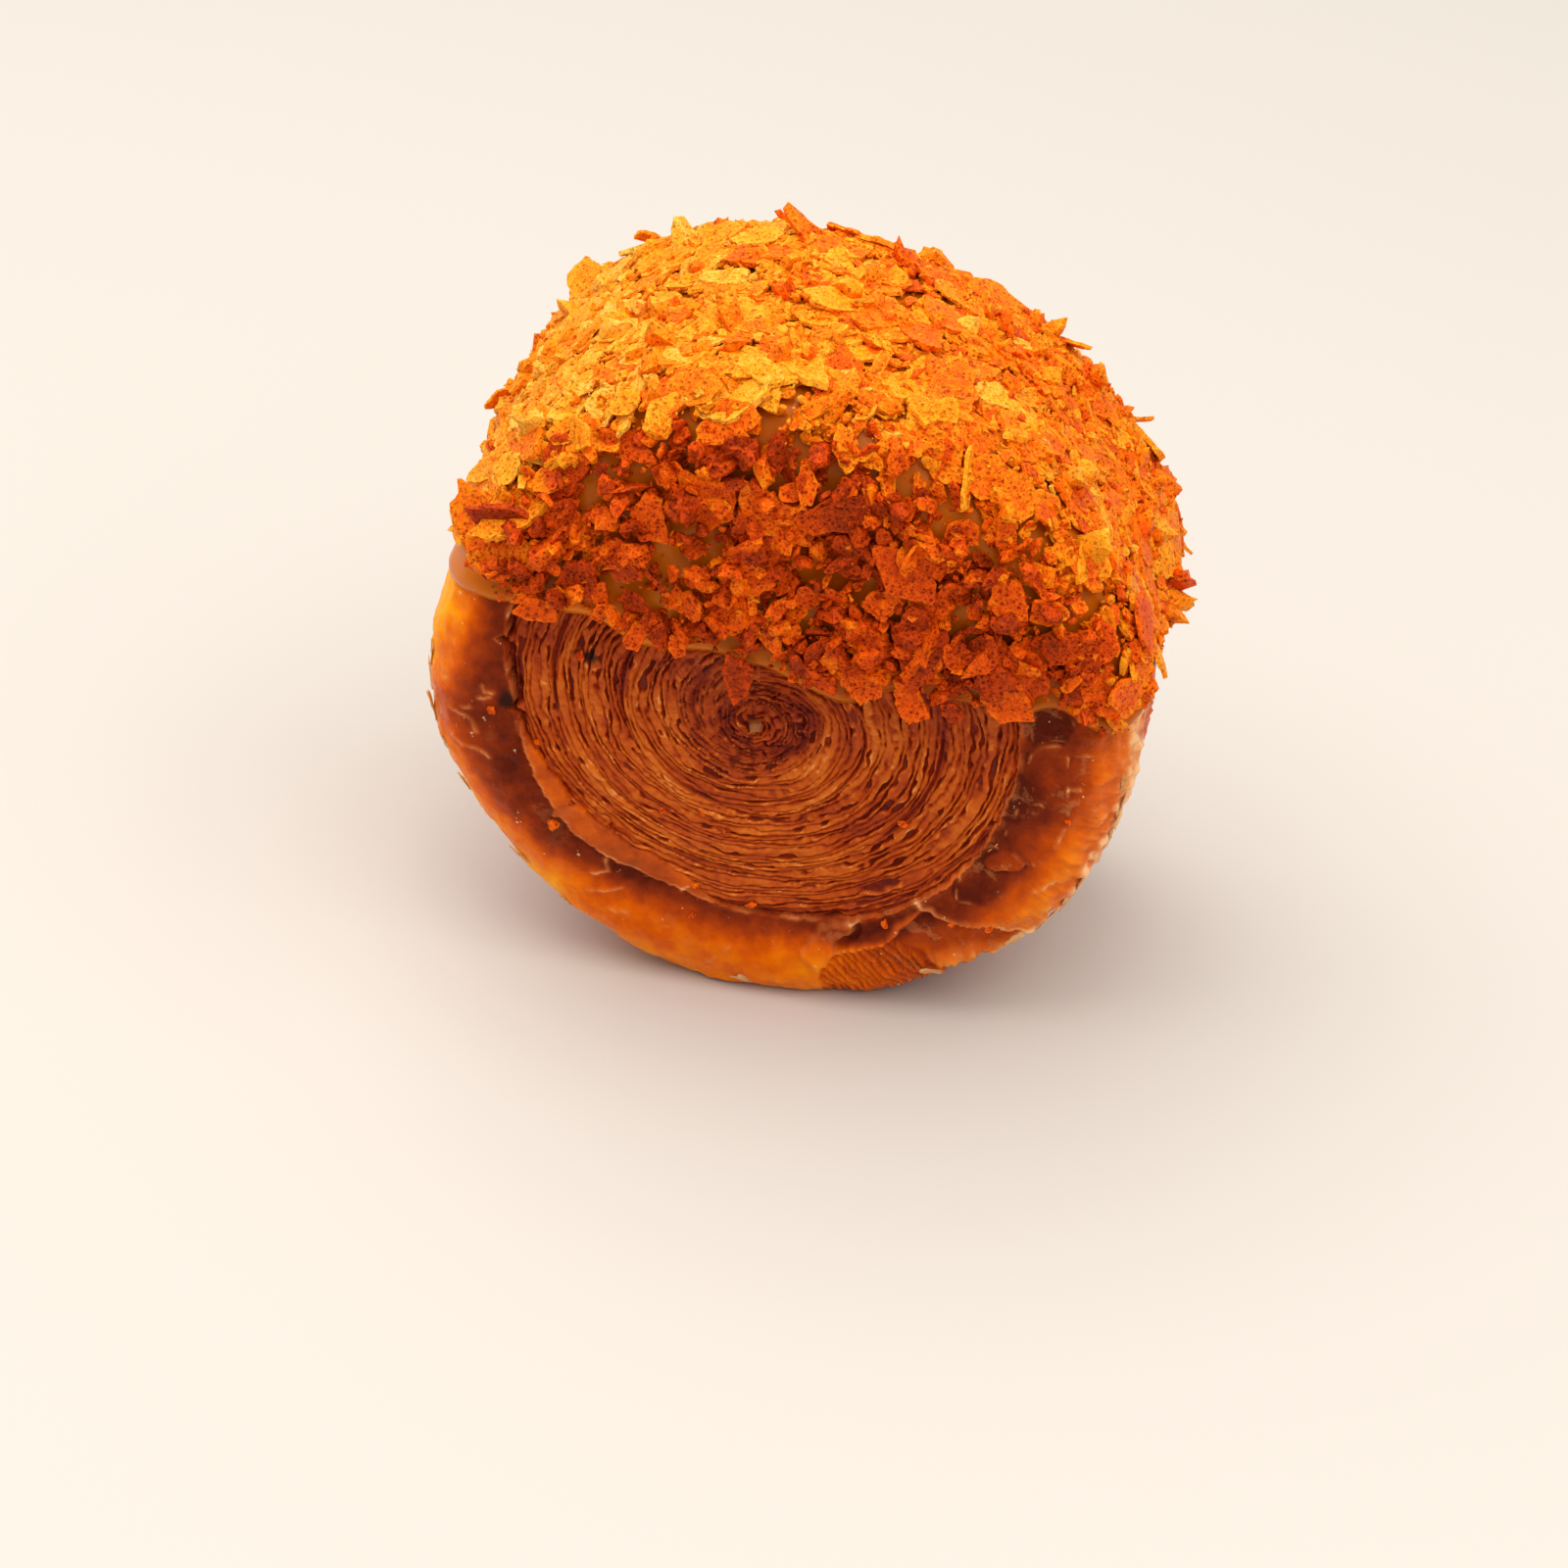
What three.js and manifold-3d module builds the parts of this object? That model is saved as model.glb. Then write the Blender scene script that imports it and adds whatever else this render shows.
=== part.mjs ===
// A croissant roll: a drum of laminated dough, rolled up like a carpet and baked in a ring, that stands
// on its edge. Both end faces show the rolled sheet as a spiral, inside a smooth crust band that rounds
// over into the side. The upper half carries a coat of caramel glaze and wafer crumbs.
//
// Millimetres. +Z is up, the drum's axis is along Y and its front face looks towards -Y. The origin is
// on the flat that the roll rests on. Angles round the axis are measured clockwise from the top, as
// seen from the front.

import * as THREE from "three";
import { mergeVertices } from "three/addons/utils/BufferGeometryUtils.js";
import Module from "manifold-3d";

const wasm = await Module();
wasm.setup();

const { degToRad, euclideanModulo, smoothstep } = THREE.MathUtils;
const FULL_TURN = 2 * Math.PI;

// ---- Driving dimensions ----

const RADIUS = 49.2; // the drum, where its outermost turn starts
const TAIL_GROWTH = 1.4; // what that turn adds to the radius on its way round to the tail
const THICKNESS = 58; // front face to back face
const BACK_SLANT = 3.6; // how much further back the back face reaches on the left
const FOOT_CUT = 2.3; // how far the resting edge is pressed flat
const RIM_DEPTH = 9; // the rounding between face and side, along the axis
const RIM_WIDTH = 10; // and along the radius

// Unevenness, as sums of waves: [waves in a full turn, height, phase].
const OUTLINE_WAVES = [
  [2, 0.45, Math.PI],
  [3, 0.25, Math.PI],
  [7, 0.15, 0],
];
const BAND_WAVES = [
  [3, 0.3, 0.7],
  [8, 0.2, 0],
  [13, 0.15, 2],
];
const SIDE_WAVE = { turns: 5, height: 0.4, length: 56 }; // slanting ripples along the side

const DISC_RADIUS = 34; // the end face inside the crust band
const DISC_SHIFT = new THREE.Vector2(-0.5, 2.2); // from the drum's axis to the disc's middle
const DISC_RECESS = 1.1; // how far the disc lies behind the crust band
const BAND_STEP = 1.2; // width of the step between them

const EYE = new THREE.Vector2(-2.5, -0.8); // where the spiral starts, from the drum's axis
const SHEET = 10; // thickness of the rolled sheet, from one turn to the next
const SHEET_TURNS = 3.2;
const FIRST_RADIUS = 2.4; // of the gap that winds between the turns
const SPIRAL_WIDTH = 1.05; // the spiral is wider than it is high
const GAP_WIDTH = 1.3;
const GAP_DEPTH = 1.6;

const TAIL_ANGLE = degToRad(174); // where the sheet ends
const TAIL_RISE = degToRad(14); // over which its last bit thins out
const NOTCH_WIDTH = 3.6; // of the groove under the sheet's end
const NOTCH_DEPTH = 1.6;

const COAT = 3; // glaze and crumbs together
const COAT_GAP = 0.3; // the coat stays this far off the crust
const COAT_EDGE = 0.5; // thickness at the coat's lower edge, as a share of the whole
const COAT_EDGE_HEIGHT = 7; // over which it reaches its full thickness
const CRUMB_BUMP = 0.6;
const CRUMB_LENGTH = 13; // of the crumbs' unevenness, from crest to crest
const DIP_HEIGHT = 54.5; // of the coat's lower edge, above the table, right of the middle
const DIP_SLOPE = 0.2; // and how fast it climbs to the left
const DIP_CORNER = 8; // where it starts to climb
const DIP_WAVE = 1.2; // drips along it
const DIP_WAVE_LENGTH = 24;

const SEGMENTS = 72;
const COAT_RINGS = 6; // across the disc
const RIM_STEPS = 4;
const SIDE_STEPS = 4;
const TURN_STEPS = 32;

const AXIS_HEIGHT = RADIUS + TAIL_GROWTH / 2 - FOOT_CUT;
const HALF = THICKNESS / 2;

// ---- Shape of the drum ----

function waves(list, angle) {
  return list.reduce((sum, [times, height, phase]) => sum + height * Math.sin(times * angle + phase), 0);
}

// The outermost turn grows clockwise from the tail, round to the tail, where it thins out.
function outlineRadius(angle) {
  const past = euclideanModulo(angle - TAIL_ANGLE, FULL_TURN);
  const left = FULL_TURN - past;
  const growth = TAIL_GROWTH * Math.min(past / FULL_TURN, left / TAIL_RISE);
  return RADIUS + growth + waves(OUTLINE_WAVES, angle);
}

function sideWave(angle, y) {
  return SIDE_WAVE.height * Math.sin(SIDE_WAVE.turns * angle + (FULL_TURN * y) / SIDE_WAVE.length);
}

// What lies behind the middle of the drum reaches further back on the left.
function slantedY(x, y) {
  return y - ((BACK_SLANT * x) / RADIUS) * Math.max(0, y / HALF);
}

// The lathe's profile, from the middle of the front face round to the middle of the back face, as
// points (radius, distance along the axis). The whole skin lies grow outside the drum's own.
function drumProfile(grow, recess, discRings) {
  const half = [];
  for (let i = 0; i <= discRings; i++) {
    half.push(new THREE.Vector2((DISC_RADIUS * i) / discRings, recess - HALF - grow));
  }
  half.push(new THREE.Vector2(DISC_RADIUS + BAND_STEP, -HALF - grow));
  for (let i = 0; i <= RIM_STEPS; i++) {
    const turn = (i / RIM_STEPS) * (Math.PI / 2);
    half.push(
      new THREE.Vector2(
        RADIUS - RIM_WIDTH + (RIM_WIDTH + grow) * Math.sin(turn),
        RIM_DEPTH - HALF - (RIM_DEPTH + grow) * Math.cos(turn),
      ),
    );
  }
  const rimEnd = HALF - RIM_DEPTH;
  const side = [];
  for (let i = 1; i < SIDE_STEPS; i++) {
    side.push(new THREE.Vector2(RADIUS + grow, rimEnd * ((2 * i) / SIDE_STEPS - 1)));
  }
  const back = half.map(({ x, y }) => new THREE.Vector2(x, -y)).reverse();
  return [...half, ...side, ...back];
}

// A drum turned on the lathe and then made uneven. lump gives what is added to its skin at a point.
function drumGeometry(profile, lump) {
  const geometry = new THREE.LatheGeometry(profile, SEGMENTS);
  const place = geometry.getAttribute("position");
  const point = new THREE.Vector3();
  for (let i = 0; i < place.count; i++) {
    point.fromBufferAttribute(place, i);
    const r = Math.hypot(point.x, point.z);
    const angle = r > 0 ? Math.atan2(point.x, point.z) : 0;
    const onSide = smoothstep(r, RADIUS - RIM_WIDTH, RADIUS);
    const onDisc = 1 - smoothstep(r, DISC_RADIUS, RADIUS);
    const onBand = smoothstep(r, DISC_RADIUS, DISC_RADIUS + BAND_STEP) * (1 - onSide);
    const outline = outlineRadius(angle) / RADIUS;
    const added = lump(point);
    const out = r * (1 + (outline - 1) * onSide) + onSide * (sideWave(angle, point.y) + added);
    const ahead = (1 - onSide) * added + onBand * waves(BAND_WAVES, angle);
    const x = out * Math.sin(angle) + onDisc * DISC_SHIFT.x;
    const z = AXIS_HEIGHT + out * Math.cos(angle) + onDisc * DISC_SHIFT.y;
    place.setXYZ(i, x, slantedY(x, point.y + Math.sign(point.y) * ahead), Math.max(0, z));
  }
  return geometry;
}

// ---- Joining and cutting ----

function solidOf(geometry) {
  const bare = geometry.clone();
  bare.deleteAttribute("normal");
  bare.deleteAttribute("uv");
  const merged = mergeVertices(bare, 1e-3);
  return new wasm.Manifold(
    new wasm.Mesh({
      numProp: 3,
      vertProperties: merged.getAttribute("position").array,
      triVerts: new Uint32Array(merged.index.array),
    }),
  );
}

function geometryOf(solid) {
  const mesh = solid.getMesh();
  const geometry = new THREE.BufferGeometry();
  geometry.setAttribute("position", new THREE.BufferAttribute(mesh.vertProperties, 3));
  geometry.setIndex(new THREE.BufferAttribute(mesh.triVerts, 1));
  geometry.computeVertexNormals();
  return geometry;
}

// A cutter drawn in the plane of the end faces, (right, up) from the drum's axis, and run along the
// axis from front to back.
function alongAxis(shape, front, back) {
  const geometry = new THREE.ExtrudeGeometry(shape, { depth: back - front, bevelEnabled: false });
  geometry.rotateX(Math.PI / 2); // the drawing's up becomes +Z, and its depth runs towards -Y
  geometry.translate(0, back, AXIS_HEIGHT);
  const place = geometry.getAttribute("position");
  for (let i = 0; i < place.count; i++) place.setY(i, slantedY(place.getX(i), place.getY(i)));
  return geometry;
}

// ---- The gap between the turns of the rolled sheet ----

// A ribbon along a spiral that opens clockwise, with a point at both ends.
function spiralGap() {
  const steps = Math.round(SHEET_TURNS * TURN_STEPS);
  const inner = [];
  const outer = [];
  for (let i = 0; i <= steps; i++) {
    const turns = i / TURN_STEPS;
    const angle = FULL_TURN * turns;
    const ends = Math.min(1, turns, SHEET_TURNS - turns);
    const r = FIRST_RADIUS + SHEET * turns;
    const centre = EYE.clone().lerp(DISC_SHIFT, r / DISC_RADIUS);
    const out = new THREE.Vector2(SPIRAL_WIDTH * Math.sin(angle), Math.cos(angle) / SPIRAL_WIDTH);
    const half = (GAP_WIDTH / 2) * ends;
    inner.push(centre.clone().addScaledVector(out, r - half));
    outer.push(centre.clone().addScaledVector(out, r + half));
  }
  return new THREE.Shape([...inner, ...outer.slice(1, -1).reverse()]);
}

// ---- The groove under the end of the sheet ----

function tailNotch() {
  const r = outlineRadius(TAIL_ANGLE);
  const out = new THREE.Vector2(Math.sin(TAIL_ANGLE), Math.cos(TAIL_ANGLE));
  const clockwise = new THREE.Vector2(out.y, -out.x);
  const at = (along, radius) => out.clone().multiplyScalar(radius).addScaledVector(clockwise, along);
  return new THREE.Shape([
    at(NOTCH_WIDTH / 2, r + FOOT_CUT),
    at(-NOTCH_WIDTH / 2, r + FOOT_CUT),
    at(-NOTCH_WIDTH / 3, r - FOOT_CUT - NOTCH_DEPTH),
  ]);
}

// ---- The pastry ----

function pastryGeometry() {
  const spiral = spiralGap();
  const floor = HALF - DISC_RECESS - GAP_DEPTH;
  const beyond = HALF + BACK_SLANT;
  return geometryOf(
    solidOf(drumGeometry(drumProfile(0, DISC_RECESS, 1), () => 0))
      .subtract(solidOf(alongAxis(spiral, -beyond, -floor)))
      .subtract(solidOf(alongAxis(spiral, floor, beyond)))
      .subtract(solidOf(alongAxis(tailNotch(), -beyond, beyond))),
  );
}

// ---- The coat of glaze and crumbs ----

// How high the lower edge of the coat is, above the table.
function dipHeight(x, y) {
  const climb = DIP_SLOPE * Math.max(0, DIP_CORNER - x);
  const wave = FULL_TURN / DIP_WAVE_LENGTH;
  return DIP_HEIGHT + climb + DIP_WAVE * Math.sin(wave * x) * Math.cos((wave * y) / 2);
}

// What is added to the coat's skin: crumbs, and less glaze towards the lower edge. The point is on the
// lathe, where z is measured from the drum's axis.
function coatLump({ x, y, z }) {
  const wave = FULL_TURN / CRUMB_LENGTH;
  const across = Math.sin(wave * x) * Math.sin(wave * (y + z));
  const along = Math.sin(wave * (x - y)) * Math.cos(wave * z);
  const edge = smoothstep(AXIS_HEIGHT + z - dipHeight(x, y), 0, COAT_EDGE_HEIGHT);
  return (CRUMB_BUMP / 2) * edge * (across + along) - COAT * (1 - COAT_EDGE) * (1 - edge);
}

// A block over the drum whose underside follows the lower edge of the coat.
function aboveTheDip() {
  const side = 3 * RADIUS;
  const block = new THREE.BoxGeometry(side, side, side, 36, 12, 1);
  const place = block.getAttribute("position");
  for (let i = 0; i < place.count; i++) {
    const isUnderside = place.getZ(i) < 0;
    place.setZ(i, isUnderside ? dipHeight(place.getX(i), place.getY(i)) : side);
  }
  return block;
}

function coatGeometry() {
  return geometryOf(
    solidOf(drumGeometry(drumProfile(COAT, 0, COAT_RINGS), coatLump))
      .subtract(solidOf(drumGeometry(drumProfile(COAT_GAP, 0, 1), () => 0)))
      .intersect(solidOf(aboveTheDip())),
  );
}

// ---- The object ----

const crust = new THREE.MeshStandardMaterial({ color: 0xb5641f, roughness: 0.45, metalness: 0 });
const crumbs = new THREE.MeshStandardMaterial({ color: 0xee7d1c, roughness: 0.85, metalness: 0 });

function named(name, geometry, material) {
  const mesh = new THREE.Mesh(geometry, material);
  mesh.name = name;
  return mesh;
}

const roll = new THREE.Group();
roll.add(named("pastry", pastryGeometry(), crust));
roll.add(named("crumb_coat", coatGeometry(), crumbs));

// The origin lies below the middle of the whole object.
const middle = new THREE.Box3().setFromObject(roll, true).getCenter(new THREE.Vector3());
for (const { geometry } of roll.children) geometry.translate(-middle.x, -middle.y, 0);

export default roll;
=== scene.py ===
"""A croissant roll: rolled laminated dough baked in a ring, standing on its edge, with its upper half in
caramel glaze and wafer crumbs. Everything is in metres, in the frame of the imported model."""

import itertools
import math

import bmesh
import bpy
import numpy as np
from mathutils import Euler, Matrix, Vector


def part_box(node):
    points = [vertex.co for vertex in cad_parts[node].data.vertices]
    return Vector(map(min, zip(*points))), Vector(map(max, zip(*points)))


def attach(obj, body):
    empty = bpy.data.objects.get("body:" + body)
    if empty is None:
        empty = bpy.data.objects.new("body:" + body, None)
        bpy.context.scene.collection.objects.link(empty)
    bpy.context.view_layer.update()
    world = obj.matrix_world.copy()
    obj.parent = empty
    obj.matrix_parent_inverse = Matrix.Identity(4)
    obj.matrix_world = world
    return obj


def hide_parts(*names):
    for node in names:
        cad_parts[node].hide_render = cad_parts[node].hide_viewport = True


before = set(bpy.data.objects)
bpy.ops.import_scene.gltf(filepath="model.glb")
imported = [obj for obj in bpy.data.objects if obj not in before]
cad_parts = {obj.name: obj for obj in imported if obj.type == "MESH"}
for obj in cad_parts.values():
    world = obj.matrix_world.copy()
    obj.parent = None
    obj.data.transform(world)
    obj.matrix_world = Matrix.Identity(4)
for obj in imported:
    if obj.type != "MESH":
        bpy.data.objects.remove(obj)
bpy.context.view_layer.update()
LOW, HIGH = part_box("pastry")

MM = 0.001
FULL_TURN = 2 * math.pi
rng = np.random.default_rng(7)

# ---- Sizes of the drum ----

RADIUS = 49.2 * MM
TAIL_GROWTH = 1.4 * MM  # what the outermost turn adds on its way round to the tail
THICKNESS = 58 * MM
BACK_SLANT = 3.6 * MM  # how much further back the back face reaches on the left
UPPER_SLANT = 4.0 * MM  # how much nearer the back face lies at its upper right
RIM_DEPTH = 9 * MM
RIM_WIDTH = 10 * MM
HALF = THICKNESS / 2

AXIS_X = (LOW.x + HIGH.x) / 2 - 0.5 * MM  # the outermost turn is thicker on the right
AXIS_Y = LOW.y + HALF + 0.5 * MM
AXIS_Z = HIGH.z - RADIUS - 1.1 * MM

FACE = RADIUS - RIM_WIDTH  # the flat part of an end face, along its radius
RIM = math.pi / 4 * (RIM_DEPTH + RIM_WIDTH)
SIDE = THICKNESS - 2 * RIM_DEPTH
WHOLE = 2 * (FACE + RIM) + SIDE  # from the middle of the front face to the middle of the back face

DISC_RADIUS = 34 * MM  # the spiral inside the crust band
DISC_SHIFT = Vector((-0.5, 2.2)) * MM
EYE = Vector((-2.5, -0.8)) * MM
SPIRAL_WIDTH = 1.05  # the spiral is wider than it is high
SHEET = 10 * MM  # one turn of the rolled sheet
LAYER = 0.95 * MM

TAIL_ANGLE = math.radians(171)  # where the sheet ends, clockwise from the top
TAIL_SLOPE = math.radians(14)  # over how much the outermost turn falls off there

# Where the outline stands out or lies in: angle and width in degrees, and height in millimetres
BUMPS = ((254, 16, 0.9), (300, 14, -0.5), (4, 20, -1.1), (52, 13, -0.4), (112, 15, -1.1))


# ---- Noise ----

CELLS = 256  # after this many cells the noise repeats


def unit(vectors):
    """Vectors brought to a length of 1."""
    return vectors / np.linalg.norm(vectors, axis=-1, keepdims=True)


LEANS = unit(np.random.default_rng(1).normal(size=(CELLS, 3)))
SHUFFLE = np.random.default_rng(2).permutation(CELLS)


def noise(x, y=0.0, z=0.0, seed=0):
    """Smooth noise between about -1 and 1, that changes over a distance of about 1."""
    place = np.stack(np.broadcast_arrays(x, y, z), axis=-1).astype(float)
    cell = np.floor(place).astype(int)
    inside = place - cell
    fade = inside**3 * (inside * (inside * 6 - 15) + 10)
    total = np.zeros(place.shape[:-1])
    for corner in itertools.product((0, 1), repeat=3):
        pick = seed * 37
        for axis in range(3):
            pick = SHUFFLE[(pick + cell[..., axis] + corner[axis]) % CELLS]
        weight = np.prod(np.where(np.array(corner) == 1, fade, 1 - fade), axis=-1)
        total += weight * np.sum(LEANS[pick] * (inside - corner), axis=-1)
    return 1.6 * total


def noise_over(size, seed, *where):
    """Noise that changes over a distance of about size."""
    return noise(*(along / size for along in where), seed=seed)


def noise_around(reach, theta, y=0.0, seed=0):
    """Noise at an angle round a circle, whose radius is reach."""
    return noise(reach * np.sin(theta), reach * np.cos(theta), y, seed=seed)


def step(x, low, high):
    """0 below low, 1 above high, and smooth between."""
    share = np.clip((x - low) / (high - low), 0, 1)
    return share * share * (3 - 2 * share)


def mix(a, b, share):
    return a + (b - a) * share


def bell(x, width):
    """1 where x is 0, falling smoothly to 0 within a few widths."""
    return np.exp(-((x / width) ** 2))


def at_angle(theta, table):
    """The values of a table at an angle. Each of its rows starts with an angle in degrees."""
    angles, *values = np.array(table).T
    return [np.interp(np.degrees(theta), angles, value) for value in values]


# ---- Shape of the drum ----


def outline_radius(theta):
    """The drum's radius at an angle clockwise from the top: its outermost turn grows round to the tail."""
    past = np.mod(theta - TAIL_ANGLE, FULL_TURN)
    growth = TAIL_GROWTH * np.minimum(past / FULL_TURN, (FULL_TURN - past) / TAIL_SLOPE)
    uneven = -0.45 * np.sin(2 * theta) - 0.25 * np.sin(3 * theta) + 0.15 * np.sin(7 * theta)
    degrees = np.degrees(np.mod(theta, FULL_TURN))
    for angle, width, higher in BUMPS:
        uneven += higher * bell(np.mod(degrees - angle + 180, 360) - 180, width)
    return RADIUS + growth + uneven * MM


def profile(t):
    """The drum's profile at a distance t along it: its radius and depth, and the way out of the skin."""
    s = np.minimum(t, WHOLE - t)
    turn = np.clip((s - FACE) / RIM, 0, 1) * math.pi / 2
    r = np.minimum(s, FACE) + RIM_WIDTH * np.sin(turn)
    y = -HALF + RIM_DEPTH * (1 - np.cos(turn)) + np.maximum(s - FACE - RIM, 0)
    end = np.where(t > WHOLE / 2, -1, 1)
    return r, y * end, np.sin(turn), -np.cos(turn) * end


def disc_place(rho, theta):
    """Where a radius and an angle of the spiral lie in the plane of the end faces."""
    out = np.minimum(rho / DISC_RADIUS, 1)
    x = AXIS_X + mix(EYE.x, DISC_SHIFT.x, out) + rho * SPIRAL_WIDTH * np.sin(theta)
    z = AXIS_Z + mix(EYE.y, DISC_SHIFT.y, out) + rho / SPIRAL_WIDTH * np.cos(theta)
    return x, z


def settle(x, y, z):
    """The drum's places as they end up: the back face slants, and the foot is pressed flat."""
    behind = np.maximum(0, y / HALF)
    upper_right = step(x - AXIS_X, -24 * MM, 10 * MM) * step(z - AXIS_Z, 0, 30 * MM)
    y = AXIS_Y + y - (BACK_SLANT * (x - AXIS_X) / RADIUS + UPPER_SLANT * upper_right) * behind
    foot = 0.8 * MM
    z = np.where(z < foot, foot * np.exp(np.minimum((z - foot) / foot, 0)), z)
    return np.stack([x, y, z], axis=-1)


def skin(t, theta, lift=0.0):
    """Points of the drum's skin, lifted off it. t runs from the middle of the front face to the middle of
    the back face, and theta clockwise from the top."""
    r, y, out_r, out_y = profile(t)
    on_side = step(r, FACE, RADIUS)
    ripple = 0.4 * MM * np.sin(5 * theta + FULL_TURN * y / (56 * MM))
    r2 = r + out_r * lift + on_side * (outline_radius(theta) - RADIUS + ripple)
    band = (0.3 * np.sin(3 * theta + 0.7) + 0.2 * np.sin(8 * theta) + 0.15 * np.sin(13 * theta + 2)) * MM
    y2 = y + out_y * (lift + band * (1 - on_side) * step(r, DISC_RADIUS, DISC_RADIUS + 2 * MM))
    near_x, near_z = disc_place(r2, theta)
    on_band = step(r, DISC_RADIUS, RADIUS)
    x = mix(near_x, AXIS_X + r2 * np.sin(theta), on_band)
    z = mix(near_z, AXIS_Z + r2 * np.cos(theta), on_band)
    return settle(x, y2, z)


def skin_frame(t, theta, lift=0.0):
    """A point of the skin, the way out of it, and the way along its profile, as unit vectors."""
    near = 0.3 * MM
    at = skin(t, theta, lift)
    along = unit(skin(t + near, theta, lift) - at)
    radius = np.maximum(profile(t)[0], 5 * MM)
    around = unit(skin(t, theta + near / radius, lift) - at)
    return at, unit(np.cross(around, along)), along


# ---- Making pieces ----

SEAM_GAP = 0.004 * MM  # vertices that are nearer to each other than this are doubles


def mesh_from(bm, name):
    """The mesh that a finished bmesh makes."""
    mesh = bpy.data.meshes.new(name)
    bm.to_mesh(mesh)
    bm.free()
    return mesh


def sheet(name, columns, rows):
    """A sheet of faces with a column or row of vertices at each of the values given. It also gives the two
    values of each vertex."""
    bm = bmesh.new()
    bmesh.ops.create_grid(bm, x_segments=len(columns) - 1, y_segments=len(rows) - 1, size=0.5)
    bmesh.ops.translate(bm, verts=bm.verts, vec=(0.5, 0.5, 0))
    mesh = mesh_from(bm, name)
    across, down, _ = places(mesh).T
    across = np.interp(across * (len(columns) - 1), np.arange(len(columns)), columns)
    return mesh, across, np.interp(down * (len(rows) - 1), np.arange(len(rows)), rows)


def places(mesh):
    flat = np.empty(len(mesh.vertices) * 3)
    mesh.vertices.foreach_get("co", flat)
    return flat.reshape(-1, 3)


def move_to(mesh, points):
    mesh.vertices.foreach_set("co", np.ascontiguousarray(points, dtype=np.float32).ravel())
    mesh.update()


def paint(mesh, name, values):
    """Stores one number, or three, for each vertex, for the materials to read."""
    values = np.asarray(values, dtype=np.float32)
    kind, field = ("FLOAT", "value") if values.ndim == 1 else ("FLOAT_VECTOR", "vector")
    mesh.attributes.new(name, kind, "POINT").data.foreach_set(field, values.ravel())


def close_up(mesh, unwanted=()):
    """Deletes the vertices marked as unwanted, merges the doubles along seams and poles, and points all
    faces out."""
    bm = bmesh.new()
    bm.from_mesh(mesh)
    bmesh.ops.delete(bm, geom=[v for v, gone in zip(bm.verts, unwanted) if gone], context="VERTS")
    bmesh.ops.remove_doubles(bm, verts=bm.verts, dist=SEAM_GAP)
    bmesh.ops.recalc_face_normals(bm, faces=bm.faces)
    bm.to_mesh(mesh)
    bm.free()


def stops(*runs):
    """Evenly spaced values in each of a few runs, each given as its start, its end and its spacing."""
    values = [np.arange(start, end - spacing / 2, spacing) for start, end, spacing in runs]
    return np.concatenate(values + [[runs[-1][1]]])


def show(name, data):
    """Adds an object to the scene."""
    made = bpy.data.objects.new(name, data)
    bpy.context.scene.collection.objects.link(made)
    return made


def piece(mesh, material, node):
    """Shows a finished mesh as a piece of its own, in place of a node of the CAD model."""
    mesh.materials.append(material)
    mesh.polygons.foreach_set("use_smooth", np.ones(len(mesh.polygons), dtype=bool))
    made = show(mesh.name, mesh)
    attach(made, "root")
    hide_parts(node)


# ---- Materials ----


def srgb(red, green, blue):
    """A colour as seen on a screen, 0 to 255, as the shader wants it."""
    share = np.array([red, green, blue]) / 255
    return tuple(float(v) for v in np.where(share < 0.04045, share / 12.92, ((share + 0.055) / 1.055) ** 2.4))


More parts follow.
